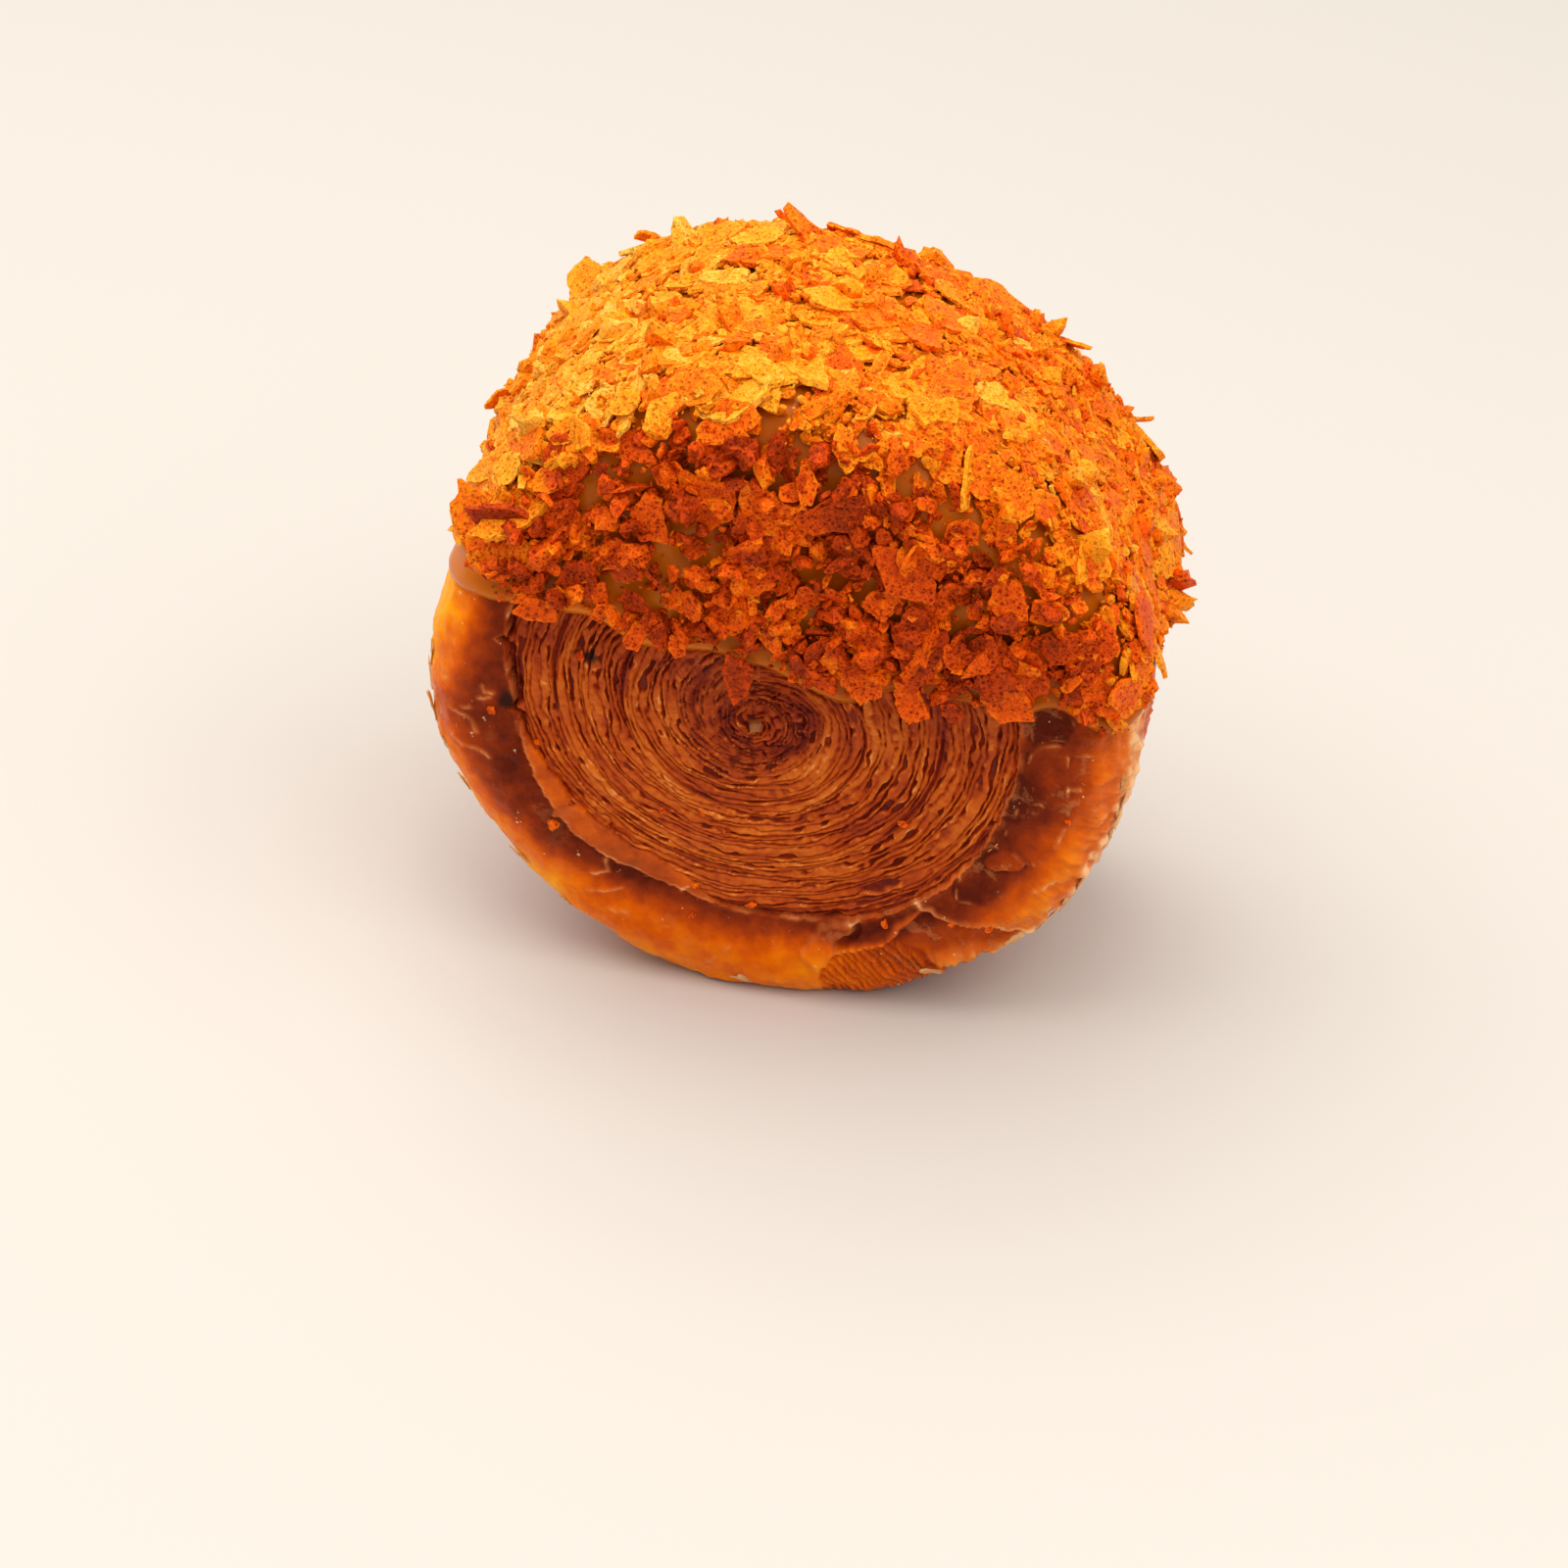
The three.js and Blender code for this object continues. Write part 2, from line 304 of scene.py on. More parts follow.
class Finish:
    """A material whose nodes are added one by one."""

    def __init__(self, name, roughness, **fixed):
        self.material = bpy.data.materials.new(name)
        self.material.use_nodes = True
        self.nodes = self.material.node_tree.nodes
        self.links = self.material.node_tree.links
        self.shader = self.nodes["Principled BSDF"]
        self.set("Roughness", roughness)
        for socket, value in fixed.items():
            self.set(socket.replace("_", " "), value)

    def set(self, socket, value):
        self.feed(value, self.shader.inputs[socket])

    def feed(self, value, socket):
        if isinstance(value, bpy.types.NodeSocket):
            self.links.new(value, socket)
        else:
            socket.default_value = value

    def add(self, kind, inputs=(), output=0, **settings):
        node = self.nodes.new(kind)
        for key, value in settings.items():
            setattr(node, key, value)
        for key, value in dict(inputs).items():
            self.feed(value, node.inputs[key])
        return node.outputs[output]

    def place(self):
        return self.add("ShaderNodeTexCoord", output="Object")

    def painted(self, name, output="Fac"):
        return self.add("ShaderNodeAttribute", output=output, attribute_name=name)

    def noise(self, vector, scale, detail=4.0, roughness=0.55):
        inputs = {"Vector": vector, "Scale": scale, "Detail": detail, "Roughness": roughness}
        return self.add("ShaderNodeTexNoise", inputs, output="Fac")

    def cells(self, vector, scale):
        return self.add("ShaderNodeTexVoronoi", {"Vector": vector, "Scale": scale}, output="Distance")

    def math(self, operation, a, b=0.0, clamp=False):
        return self.add("ShaderNodeMath", {0: a, 1: b}, operation=operation, use_clamp=clamp)

    def times(self, a, b):
        return self.math("MULTIPLY", a, b)

    def range(self, value, low, high, to_low=0.0, to_high=1.0):
        inputs = {0: value, 1: low, 2: high, 3: to_low, 4: to_high}
        return self.add("ShaderNodeMapRange", inputs, clamp=True)

    def vary(self, value, texture, amount, clamp=False):
        """A value with a noise added, which is spread to plus or minus an amount."""
        return self.math("ADD", value, self.range(texture, 0.3, 0.7, -amount, amount), clamp)

    def ramp(self, value, *colours):
        """A colour for each value, from a few values and their colours as seen on a screen."""
        made = self.add("ShaderNodeValToRGB", {0: value})
        points = made.node.color_ramp.elements
        while len(points) < len(colours):
            points.new(1.0)
        for point, (place, *colour) in zip(points, colours):
            point.position = place
            point.color = (*srgb(*colour), 1.0)
        return made

    def blend(self, share, below, above, mode="MIX"):
        inputs = {0: share, 6: below, 7: (*above, 1.0)}
        return self.add("ShaderNodeMix", inputs, 2, data_type="RGBA", blend_type=mode)

    def bump(self, height, distance, strength, normal=None):
        inputs = {"Height": height, "Distance": distance, "Strength": strength}
        if normal:
            inputs["Normal"] = normal
        return self.add("ShaderNodeBump", inputs)


BROWNED = (1.0, 0.72, 0.5, 1.0)  # the colour of the shine on browned dough


def baked(made, radius, weight, scale):
    """Lets light a little way into a baked surface, red the furthest."""
    made.set("Subsurface Weight", weight)
    made.set("Subsurface Scale", scale)
    made.shader.inputs["Subsurface Radius"].default_value = radius


def crust_finish():
    """Glossy baked crust: red-brown on the faces and amber towards the rims, with a paler flaking film that
    on the right is partly painted sheen, pale specks that are partly painted glints, and char."""
    made = Finish("baked crust", 0.35, IOR=1.15, Specular_Tint=BROWNED)
    baked(made, (1.0, 0.35, 0.08), 0.16, 2 * MM)
    place = made.place()
    patches = made.noise(place, 90, 6, 0.6)
    mottle = made.noise(place, 420, 4, 0.6)
    toast = made.vary(made.painted("bake"), patches, 0.16)
    toast = made.vary(toast, mottle, 0.07, clamp=True)
    colour = made.ramp(
        toast,
        (0.0, 88, 24, 10),
        (0.2, 134, 44, 14),
        (0.42, 180, 66, 8),
        (0.62, 220, 92, 0),
        (0.8, 242, 124, 0),
        (1.0, 254, 164, 8),
    )
    # The paler film, which on the right is partly painted sheen.
    film = made.times(made.range(made.noise(place, 150, 7, 0.7), 0.56, 0.6), made.painted("film"))
    colour = made.blend(made.times(film, 0.4), colour, srgb(212, 128, 76))
    # Pale specks, partly painted glints of the glossy crust.
    specks_and_glints = made.range(made.noise(place, 900, 2), 0.72, 0.76)
    colour = made.blend(made.times(specks_and_glints, 0.7), colour, srgb(244, 204, 160))
    dried = made.times(made.painted("pale"), made.range(mottle, 0.3, 0.6, 0.5, 1.0))
    dry_colour = made.ramp(dried, (0.4, 212, 116, 56), (0.9, 242, 190, 134))
    colour = made.add("ShaderNodeMix", {0: dried, 6: colour, 7: dry_colour}, 2, data_type="RGBA")
    colour = made.blend(made.painted("char"), colour, srgb(52, 22, 18))
    made.set("Base Color", colour)
    made.set("Roughness", made.range(patches, 0.35, 0.65, 0.16, 0.4))
    fine = made.bump(made.noise(place, 900, 5), 0.14 * MM, 0.7)
    flaking = made.bump(film, 0.12 * MM, 0.8, fine)
    made.set("Normal", made.bump(made.noise(place, 300, 5, 0.6), 0.45 * MM, 0.8, flaking))
    return made.material


def layer_finish():
    """The edges of the rolled layers: dark in the gaps, as painted shade, golden brown between them, and
    light along the torn edges, partly as painted highlight."""
    made = Finish("rolled layers", 0.42, Specular_IOR_Level=0.25, Specular_Tint=BROWNED)
    place = made.place()
    strip = made.painted("strip", "Vector")
    streaks = made.noise(strip, 1.0, 4)
    patches = made.noise(place, 60, 3)
    tone = made.vary(made.painted("height"), streaks, 0.07)
    tone = made.vary(tone, patches, 0.1, clamp=True)
    colour = made.ramp(
        tone,
        (0.0, 92, 10, 8),
        (0.25, 134, 32, 4),
        (0.5, 178, 66, 6),
        (0.75, 208, 102, 18),
        (1.0, 240, 160, 92),
    )
    colour = made.blend(made.painted("char"), colour, srgb(48, 20, 14))
    made.set("Base Color", colour)
    made.set("Roughness", made.range(streaks, 0.3, 0.7, 0.26, 0.55))
    grain = made.bump(made.noise(place, 700, 4), 0.16 * MM, 0.8)
    made.set("Normal", made.bump(streaks, 0.14 * MM, 0.6, grain))
    return made.material


def glaze_finish():
    """Smooth set caramel glaze."""
    made = Finish("caramel glaze", 0.2, Specular_IOR_Level=0.2, Specular_Tint=(1.0, 0.85, 0.6, 1.0))
    baked(made, (1.0, 0.45, 0.1), 0.25, 3 * MM)
    place = made.place()
    cloud = made.noise(place, 30, 2)
    made.set("Base Color", made.ramp(cloud, (0.35, 168, 76, 2), (0.65, 218, 116, 10)))
    made.set("Roughness", made.range(cloud, 0.3, 0.7, 0.12, 0.3))
    made.set("Normal", made.bump(made.noise(place, 300, 2), 0.2 * MM, 0.5))
    return made.material


def crumb_finish():
    """Porous orange wafer, each crumb a little lighter or darker, partly as painted light and shade, and full
    of pinholes, which are fainter on the crumbs painted lightest.
    """
    made = Finish("wafer crumbs", 0.5, Specular_IOR_Level=0.12, Specular_Tint=(1.0, 0.8, 0.6, 1.0))
    baked(made, (1.0, 0.35, 0.06), 0.2, 1.2 * MM)
    place = made.place()
    grain = made.noise(place, 1100, 5, 0.7)
    tone = made.vary(made.painted("tone"), grain, 0.16, clamp=True)
    colour = made.ramp(
        tone,
        (0.0, 146, 44, 6),
        (0.2, 200, 64, 4),
        (0.4, 240, 92, 4),
        (0.6, 252, 130, 6),
        (0.8, 255, 164, 30),
        (1.0, 255, 188, 74),
    )
    wide = made.range(made.cells(place, 1250), 0.2, 0.34, 1.0, 0.0)
    small = made.range(made.cells(place, 2600), 0.2, 0.4, 1.0, 0.0)
    some = made.range(made.noise(place, 1000, 2), 0.4, 0.48)
    pores = made.math("MAXIMUM", made.times(wide, some), made.times(small, 0.5))
    # Pinholes fade on the crumbs painted lightest, as if washed out by light.
    fade_where_lit = made.range(made.painted("tone"), 0.35, 0.8, 0.9, 0.5)
    colour = made.blend(made.times(pores, fade_where_lit), colour, (0.42, 0.2, 0.1), "MULTIPLY")
    made.set("Base Color", colour)
    made.set("Roughness", made.range(grain, 0.3, 0.7, 0.35, 0.65))
    rough = made.bump(grain, 0.28 * MM, 0.8)
    made.set("Normal", made.bump(made.math("SUBTRACT", 1.0, pores), 0.3 * MM, 0.9, rough))
    return made.material


def film_finish():
    """Thin dry skin that has curled off the crust."""
    made = Finish("dry film", 0.4, Specular_IOR_Level=0.3)
    baked(made, (1.0, 0.6, 0.3), 0.3, 2 * MM)
    cloud = made.noise(made.place(), 500, 3)
    made.set("Base Color", made.ramp(cloud, (0.35, 214, 132, 58), (0.65, 238, 188, 126)))
    made.set("Normal", made.bump(cloud, 0.1 * MM, 0.6))
    return made.material


# ---- The torn edge of the crust ----

# On the front: angle in degrees, how far out the crust's torn edge lies beyond the spiral and how far a
# lower layer reaches in from under it, both in millimetres
EDGE = (
    (0, 0.5, 0), (60, -0.3, 0), (90, -0.9, 0.3), (110, 0.2, 0.5), (130, 2.1, 0.6), (150, 3.2, 0.5),
    (165, 2.4, 0), (180, 1.9, 0), (190, 1.6, 0.3), (197, 1.5, 2.6), (205, 1.7, 4.2), (215, 1.9, 4.4),
    (225, 2.2, 3.8), (235, 1.8, 3.2), (245, 1.4, 2.6), (252, 0.8, 1.4), (258, 0.3, 0.2), (265, 0.2, 0),
    (275, 1.2, 0), (285, 2.2, 0), (295, 3.2, 0), (315, 2, 0.4), (360, 0.5, 0),
)

# How deep the gap under the torn edge is at an angle
GAPS = ((0, 0.6), (50, 0.3), (130, 0.25), (160, 0.5), (200, 0.5), (225, 1), (300, 1), (360, 0.6))

# Notches in the torn edge: angle, depth and half width
NOTCHES = ((262, 1.6, 1.4), (281, 1.7, 1.5), (232, 1.0, 1.1), (300, 0.8, 1.6))


def torn_edge(theta, front):
    """How far out the crust's torn edge lies beyond the spiral, and how far in the lower layer reaches."""
    out, shelf = at_angle(theta, EDGE)

    def waves(fine, seed):
        return noise_around(fine, theta, np.where(front, 0, 50), seed=seed)

    ragged = 0.35 * waves(3, 20) + 0.3 * waves(9, 21)
    ragged += 0.28 * waves(27, 22) + 0.16 * waves(60, 23)
    for angle, depth, width in NOTCHES:
        ragged += front * depth * np.clip(1 - np.abs(np.degrees(theta) - angle) / width, 0, 1)
    shelf_back = np.clip(1.2 + 1.6 * waves(3, 24), 0, 2.8)
    reach = np.where(front, shelf, shelf_back)
    reach += reach / (reach + 1) * 0.9 * waves(8, 25)
    return np.where(front, out, 0.8) + ragged, reach


def gap_width(theta, front):
    """How open the gap under the crust's torn edge is, from 0 to 1."""
    return np.where(front, at_angle(theta, GAPS)[0], 0.7)


# ---- The spiral faces ----

HEART_SHEET = 3.6 * MM  # one turn of the sheet at the eye, where it is rolled tightest
RADII = np.linspace(0, DISC_RADIUS + 8 * MM, 801)
THICKNESSES = mix(HEART_SHEET, SHEET, step(RADII, 2 * MM, 10 * MM))
TURNS = np.cumsum(np.gradient(RADII) / THICKNESSES)
TURNS -= TURNS[0]
WOUND = np.linspace(-FULL_TURN, 6 * FULL_TURN, 1401)
MIDLINE = np.maximum(np.interp(WOUND / FULL_TURN + 0.5, TURNS, RADII), 0.8 * MM)
ALONG = np.cumsum(MIDLINE * np.gradient(WOUND))
BORDER = DISC_RADIUS + 4.5 * MM  # where the spiral ends, under the crust


def spiral_layers(rho, theta, seed):
    """Relief and tone of the rolled layers' edges at a radius and an angle round the eye. The relief is in
    metres, and the tone runs from 0 in a gap to 1 on a torn edge. The tone carries painted shade in the gaps
    and creases, and painted light on higher layers, ribbon crests, proud torn edges and small glints."""
    turns = np.interp(rho, RADII, TURNS) - theta / FULL_TURN
    turn = np.floor(turns)
    across = turns - turn
    thick = np.interp(rho, RADII, THICKNESSES)
    along = np.interp(theta + FULL_TURN * turn, WOUND, ALONG) / MM
    deep = across * thick / MM

    def wave(length, layer, number):
        return noise(along / length, layer, seed=seed + number)

    bundle = wave(20, deep / 2.6, 0) + 0.5 * wave(9, deep / 1.3, 1)
    knot = 0.8 * (1 - step(rho, 3 * MM, 8 * MM)) * noise_around(rho / (2 * MM), theta, seed=seed + 12)
    warp = wave(9, deep / 2.0, 2) + 0.42 * wave(3, deep, 3) + knot
    warp += 0.2 * wave(1.5, deep / 0.8, 14)
    phase = deep * MM / LAYER + warp
    border = np.round(phase)
    beyond = phase - border
    own, other = border + np.minimum(np.sign(beyond), 0), border - np.maximum(np.sign(beyond), 0)

    def level(layer):
        return 0.3 * wave(9, layer * 3.7, 4) + 0.2 * wave(3, layer * 5.3, 5)

    height = level(own)
    opening = 0.6 * wave(2.7, border * 7.3, 6) + 0.3 * wave(12, border * 3.1, 7)
    width = np.clip(opening - 0.2 * bundle, 0, 0.38)
    away = np.abs(beyond)
    gap = (1 - step(away, 0.45 * width, width + 0.07)) * step(width, 0.0, 0.1)
    seam = np.minimum(across, 1 - across) * thick / MM
    torn_seam = step(wave(14, turn * 5.3, 8), 0.0, 0.4)
    gap = np.maximum(gap, bell(seam, 0.4) * torn_seam)
    crumbled = wave(0.8, phase / 0.8, 9)
    open_crease = 0.35 + 0.65 * step(wave(5, border * 4.1, 11), -0.4, 0.3)
    crease = bell(away, 0.17) * open_crease
    bulge = np.sin(math.pi * away) - 0.6
    relief = height + 0.2 * bundle + 0.12 * crumbled + 0.3 * bulge - 0.2 * crease
    relief = mix(relief, -0.62 + 0.15 * crumbled, gap)
    lip = bell(away - width - 0.07, 0.08)
    proud = 0.9 * step(height - level(other), 0.0, 0.25) + 0.6 * step(width, 0.04, 0.15) + 0.15
    proud += 0.35 * (beyond > 0)
    # The tone follows the relief, lighter on higher layers and on the ribbons' crests, as painted light;
    # small pale spots are painted glints.
    painted_glints = step(wave(1.3, phase / 0.6, 13), 0.5, 0.8)
    tone = 0.5 + 0.4 * height + 0.14 * bundle + 0.1 * crumbled + 0.12 * bulge + 0.24 * painted_glints
    # Light torn edges, strongest where a layer stands proud of its neighbour and on one side of each gap:
    # partly painted highlight.
    tone += 0.26 * lip * proud * step(crumbled, -0.8, 0.2)
    # Painted shade: darker in the creases and in the gaps between layers.
    tone = mix(tone - 0.16 * crease, 0.15, gap)
    return relief * MM, tone, np.stack([along * 0.5, phase * 1.3, border * 9.1], axis=-1)


CHAR = ((-38.8, 46.4, 1.6, 1.9), (-27.4, 55.0, 2.2, 1.3))  # x, z, half width and half height in millimetres


def char_spots(x, z):
    """How burnt the crust is near its two dark blisters."""
    burnt = np.zeros_like(x)
    ragged = 0.25 * noise_over(1.3 * MM, 40, x, z)
    for spot_x, spot_z, wide, high in CHAR:
        away = np.hypot((x - spot_x * MM) / (wide * MM), (z - spot_z * MM) / (high * MM))
        burnt = np.maximum(burnt, 1 - step(away + ragged, 0.4, 1.1))
    return burnt


# Broad darker and lighter arcs of the spiral: radius, first and last angle, and how much lighter
ARCS = (
    (6.6, 45, 150, -0.14), (12.6, 20, 120, -0.14), (9.6, 40, 160, 0.14), (15.3, 50, 170, 0.14),
    (4.2, 190, 330, -0.12), (19.5, 240, 330, -0.12), (24.0, 30, 100, -0.14), (18.0, 190, 250, 0.12),
    (27.0, 170, 240, 0.1), (9.0, 230, 320, -0.12),
)


def arcs(rho, theta):
    """How much lighter the spiral is for its broad arcs."""
    total, along = np.zeros_like(rho), np.degrees(theta)
    for radius, first, last, lighter in ARCS:
        ends = step(along, first - 25, first + 20) * (1 - step(along, last - 20, last + 25))
        wander = 1.2 * noise_around(2, theta, radius, seed=45)
        total += lighter * ends * bell(rho / MM - radius - wander, 0.9)
    return total


def spiral_ring(name, start, end, front, material):
    """Part of an end face inside the crust band, between two radii. Its columns of vertices wind out along
    the layers."""
    winds = np.interp(stops((start, end, 0.115 * MM if front else 0.2 * MM)), RADII, TURNS)
    if start == 0:
        winds = np.concatenate([np.linspace(-1, 0, 18)[:-1], winds])
    rows = np.linspace(0, FULL_TURN, 620 if front else 440)
    seed = 100 if front else 200
    mesh, wind, theta = sheet(name, winds, rows)
    rho = np.minimum(np.interp(wind + theta / FULL_TURN, TURNS, RADII), BORDER)
    relief, tone, strip = spiral_layers(rho, theta, seed)
    out = rho / DISC_RADIUS
    broad = arcs(rho, theta) * front
    under = (rho - DISC_RADIUS) / MM - torn_edge(theta, front)[0]
    sunk, open_gap = step(under, -1.5, -0.5), gap_width(theta, front)
    base = 0.5 * noise_around(rho / (9 * MM), theta, seed=seed + 9) - 0.4 - 0.5 * (1 - step(out, 0.05, 0.3))
    base = base - 1.2 * sunk * open_gap + 1.5 * broad
    heart = 1 - step(rho, 5 * MM, 8 * MM)
    x, z = disc_place(rho, theta)
    pits = step(noise_over(0.9 * MM, 46, x, z), 0.25, 0.6) * (0.25 + 0.75 * heart)
    lumpy = heart * noise_over(1.3 * MM, 47, x, z)
    lift = base * MM + (relief + (0.3 * lumpy - 0.45 * pits) * MM) * step(out, 0.0, 0.04)
    shaded = step(z - AXIS_Z, 0, 12 * MM) * step(rho, 6 * MM, 12 * MM)
    # Painted shade darkens the spiral in the open gap under the crust's torn edge, and through shaded in its
    # upper middle.
    tone += 1.5 * broad - 0.12 * (heart + shaded) + 0.16 * lumpy - 0.25 * pits - 0.3 * sunk * open_gap
    move_to(mesh, settle(x, (-HALF - lift) * (1 if front else -1), z))
    paint(mesh, "height", np.clip(tone, 0, 1))
    paint(mesh, "strip", strip)
    paint(mesh, "char", char_spots(x, z) * front)
    close_up(mesh)
    piece(mesh, material, "pastry")


def spirals(material):
    """The front's spiral is three rings, one round the other, so that no piece is too heavy."""
    spiral_ring("spiral_heart", 0, 12 * MM, True, material)
    spiral_ring("spiral_rings", 12 * MM, 25 * MM, True, material)
    spiral_ring("spiral_rim", 25 * MM, BORDER, True, material)
    spiral_ring("spiral_back", 0, BORDER, False, material)


# ---- The crust ----

TORN = 4.6 * MM  # how far the crust's layers reach in under its torn edge

# Where the tail's skin is torn off, on the front face, in millimetres
HOLLOW = ((16.6, 13.4), (21.3, 19.6), (25, 18.3), (33.5, 16.4), (38, 13), (28.6, 12.2), (22.8, 9))
RIBS = (
    (10, 10.8), (16.6, 13.6), (22.8, 9.4), (31, 10.5), (30, 3), (17, -1), (7.5, 0), (6.8, 6.6),
)
FLAP = ((4.3, 9.6), (7.2, 15), (12.2, 16.4), (9.4, 12.4), (8.4, 8.6), (6.6, 6.4))
PIT = ((8.6, 9.6), (9.2, 12.6), (12.6, 15.6), (12.4, 13), (10.2, 11))
TORN_LINE = ((9, 10.2), (16.6, 13.4), (18.2, 16.6), (21.3, 19.4))  # the ridge beside the hollow
LUMP = ((23.2, 9.6), (26, 10.6), (28.8, 12.6))
SKIN_LIP = ((20, 21), (21.6, 20.2), (25, 18.8), (32.5, 17.2), (37, 15.5))


# Plates of dried skin on the right of the front face: how light and how high they are, and their corners
PLATES = (
    (-0.2, 0,
     ((34.2, 57.9), (39.9, 57.1), (40.5, 53.2), (39.6, 50.7), (35.9, 49.7), (34.8, 49.1), (33.5, 55.2))),
    (0.04, 0.15,
     ((34.8, 48.4), (36.3, 49.4), (38.5, 50), (39.7, 49.6), (40.1, 46.1), (40.5, 39.8), (38.2, 39.7),
      (36.8, 40.6), (34.6, 40.5), (34, 44.3))),
    (-0.04, 0.1,
     ((34.6, 40.3), (36.8, 40.4), (38.4, 39.4), (40.4, 39.5), (40.5, 36.4), (39.5, 32.9), (37.9, 30.2),
      (35.6, 29.1), (33.2, 31.7), (31.8, 33.4), (33.1, 37.9))),
    (-0.12, 0,
     ((27.9, 31.6), (31.8, 31.7), (35.3, 29.3), (34.5, 26.2), (33.2, 24.8), (32.3, 23.2), (29.7, 22),
      (25.7, 21.9), (25.9, 25.2))),
    (0.12, 0.3,
     ((29.3, 29.1), (32, 31.7), (33.8, 31.3), (35.3, 29.5), (34.6, 28.5), (32.6, 28.4), (30.2, 28))),
)

# Points along small wrinkles of dry film on the front face, x and z in millimetres
WRINKLES = (
    ((-46.8, 43.1), (-44.8, 42.7), (-43.8, 42.1), (-43.1, 40.3)),
    ((-45, 43.9), (-43.9, 44.4)),
    ((-42.7, 46.1), (-41.1, 46.6)),
    ((-42.1, 48.6), (-41.7, 47.4), (-40.6, 47.3)),
    ((-46.9, 38.6), (-45.2, 37.4), (-43.2, 37.4), (-41.3, 36.5)),
    ((-48.4, 49.1), (-47.4, 48.8), (-47.8, 47.5)),
    ((-38.6, 61), (-37.8, 58.8), (-38.6, 57.2)),
    ((-26.3, 18.7), (-24.3, 19.2)),
    ((-27, 15.4), (-24.7, 15.8), (-22.1, 16.4)),
    ((-24, 12.8), (-22.9, 12.1), (-21.2, 12.1)),
    ((-24.4, 21.3), (-24.1, 19.3)),
    ((-13.4, 17.5), (-12.3, 18.6)),
    ((-9.4, 4.9), (-8.1, 6.7)),
    ((-6.8, 8.2), (-6, 9.2)),
    ((40.2, 42.8), (41.8, 42.9)),
    ((39.3, 32.8), (40.3, 36.1)),
    ((42, 48.3), (42.9, 48.2)),
    ((42.6, 27), (44, 30.5)),
    ((37, 24.4), (39.6, 26.8)),
)


def beside(x, z, points):
    """How far points of the front face are from a line through a few points."""
    away = np.full_like(x, 1e3)
    for (x0, z0), (x1, z1) in itertools.pairwise(points):
        run = np.array([x1 - x0, z1 - z0])
        share = np.clip(((x - x0) * run[0] + (z - z0) * run[1]) / (run @ run), 0, 1)
        away = np.minimum(away, np.hypot(x - x0 - share * run[0], z - z0 - share * run[1]))
    return away


def depth_in(x, z, corners):
    """How far inside a closed outline points of the front face are, negative outside it."""
    outline = corners + corners[:1]
    inside = np.zeros(x.shape, dtype=bool)
    for (x0, z0), (x1, z1) in itertools.pairwise(outline):
        if z0 != z1:
            inside ^= ((z0 > z) != (z1 > z)) & (x < x0 + (z - z0) * (x1 - x0) / (z1 - z0))
    return beside(x, z, outline) * np.where(inside, 1, -1)


def within(x, z, corners, soft):
    """1 well inside a closed outline, 0 outside it, and between over a width of soft."""
    return step(depth_in(x, z, corners), -soft / 2, soft / 2)


def shaken(x, z, amount, size, seed):
    """Coordinates in millimetres, shaken so that what is drawn with them has ragged edges."""
    x, z = x / MM, z / MM
    return x + amount * noise_over(size, seed, x, z), z + amount * noise_over(size, seed + 1, x, z)


def plates(x, z):
    """The plates of dried skin: their lift in metres and their tone, with a painted shadow just outside their
    edges, and how pale their edges are.
    """
    x, z = shaken(x, z, 0.35, 1.4, 41)
    patchy = step(noise_over(2.2, 43, x, z), -0.1, 0.4)
    lift, tone, pale = np.zeros((3, *x.shape))
    for lighter, higher, corners in PLATES:
        depth = depth_in(x, z, corners)
        on = step(depth, -0.3, 0.3)
        edge = bell(depth - 0.2, 0.2) * patchy
        # A painted shadow just outside a plate's edge, where the crust is also sunk a little.
        under = bell(depth + 0.3, 0.25) * patchy
        lift = mix(lift, higher, on) + 0.12 * edge - 0.2 * under
        tone = mix(tone, lighter, on) - 0.08 * under
        pale = np.maximum(mix(pale, 0, on), 0.65 * edge)
    return lift * MM, tone, pale


def wrinkles(x, z):
    """How near a point of the front face is to a wrinkle of dry film."""
    x, z = shaken(x, z, 0.25, 1.0, 44)
    pale = np.zeros_like(x)
    for points in WRINKLES:
        pale = np.maximum(pale, bell(beside(x, z, points), 0.32))
    return pale


# Angle in degrees, and how far round the rim the crust stops being brown and is fully amber there
TOAST = (
    (0, 0.2, 0.5), (80, 0.16, 0.55), (120, 0.14, 0.5), (150, 0.08, 0.42), (165, -0.05, 0.3),
    (180, -0.15, 0.25), (205, -0.12, 0.22), (225, 0.02, 0.32), (240, 0.14, 0.48), (260, 0.2, 0.58),
    (280, 0.12, 0.4), (300, 0.12, 0.4), (360, 0.2, 0.5),
)


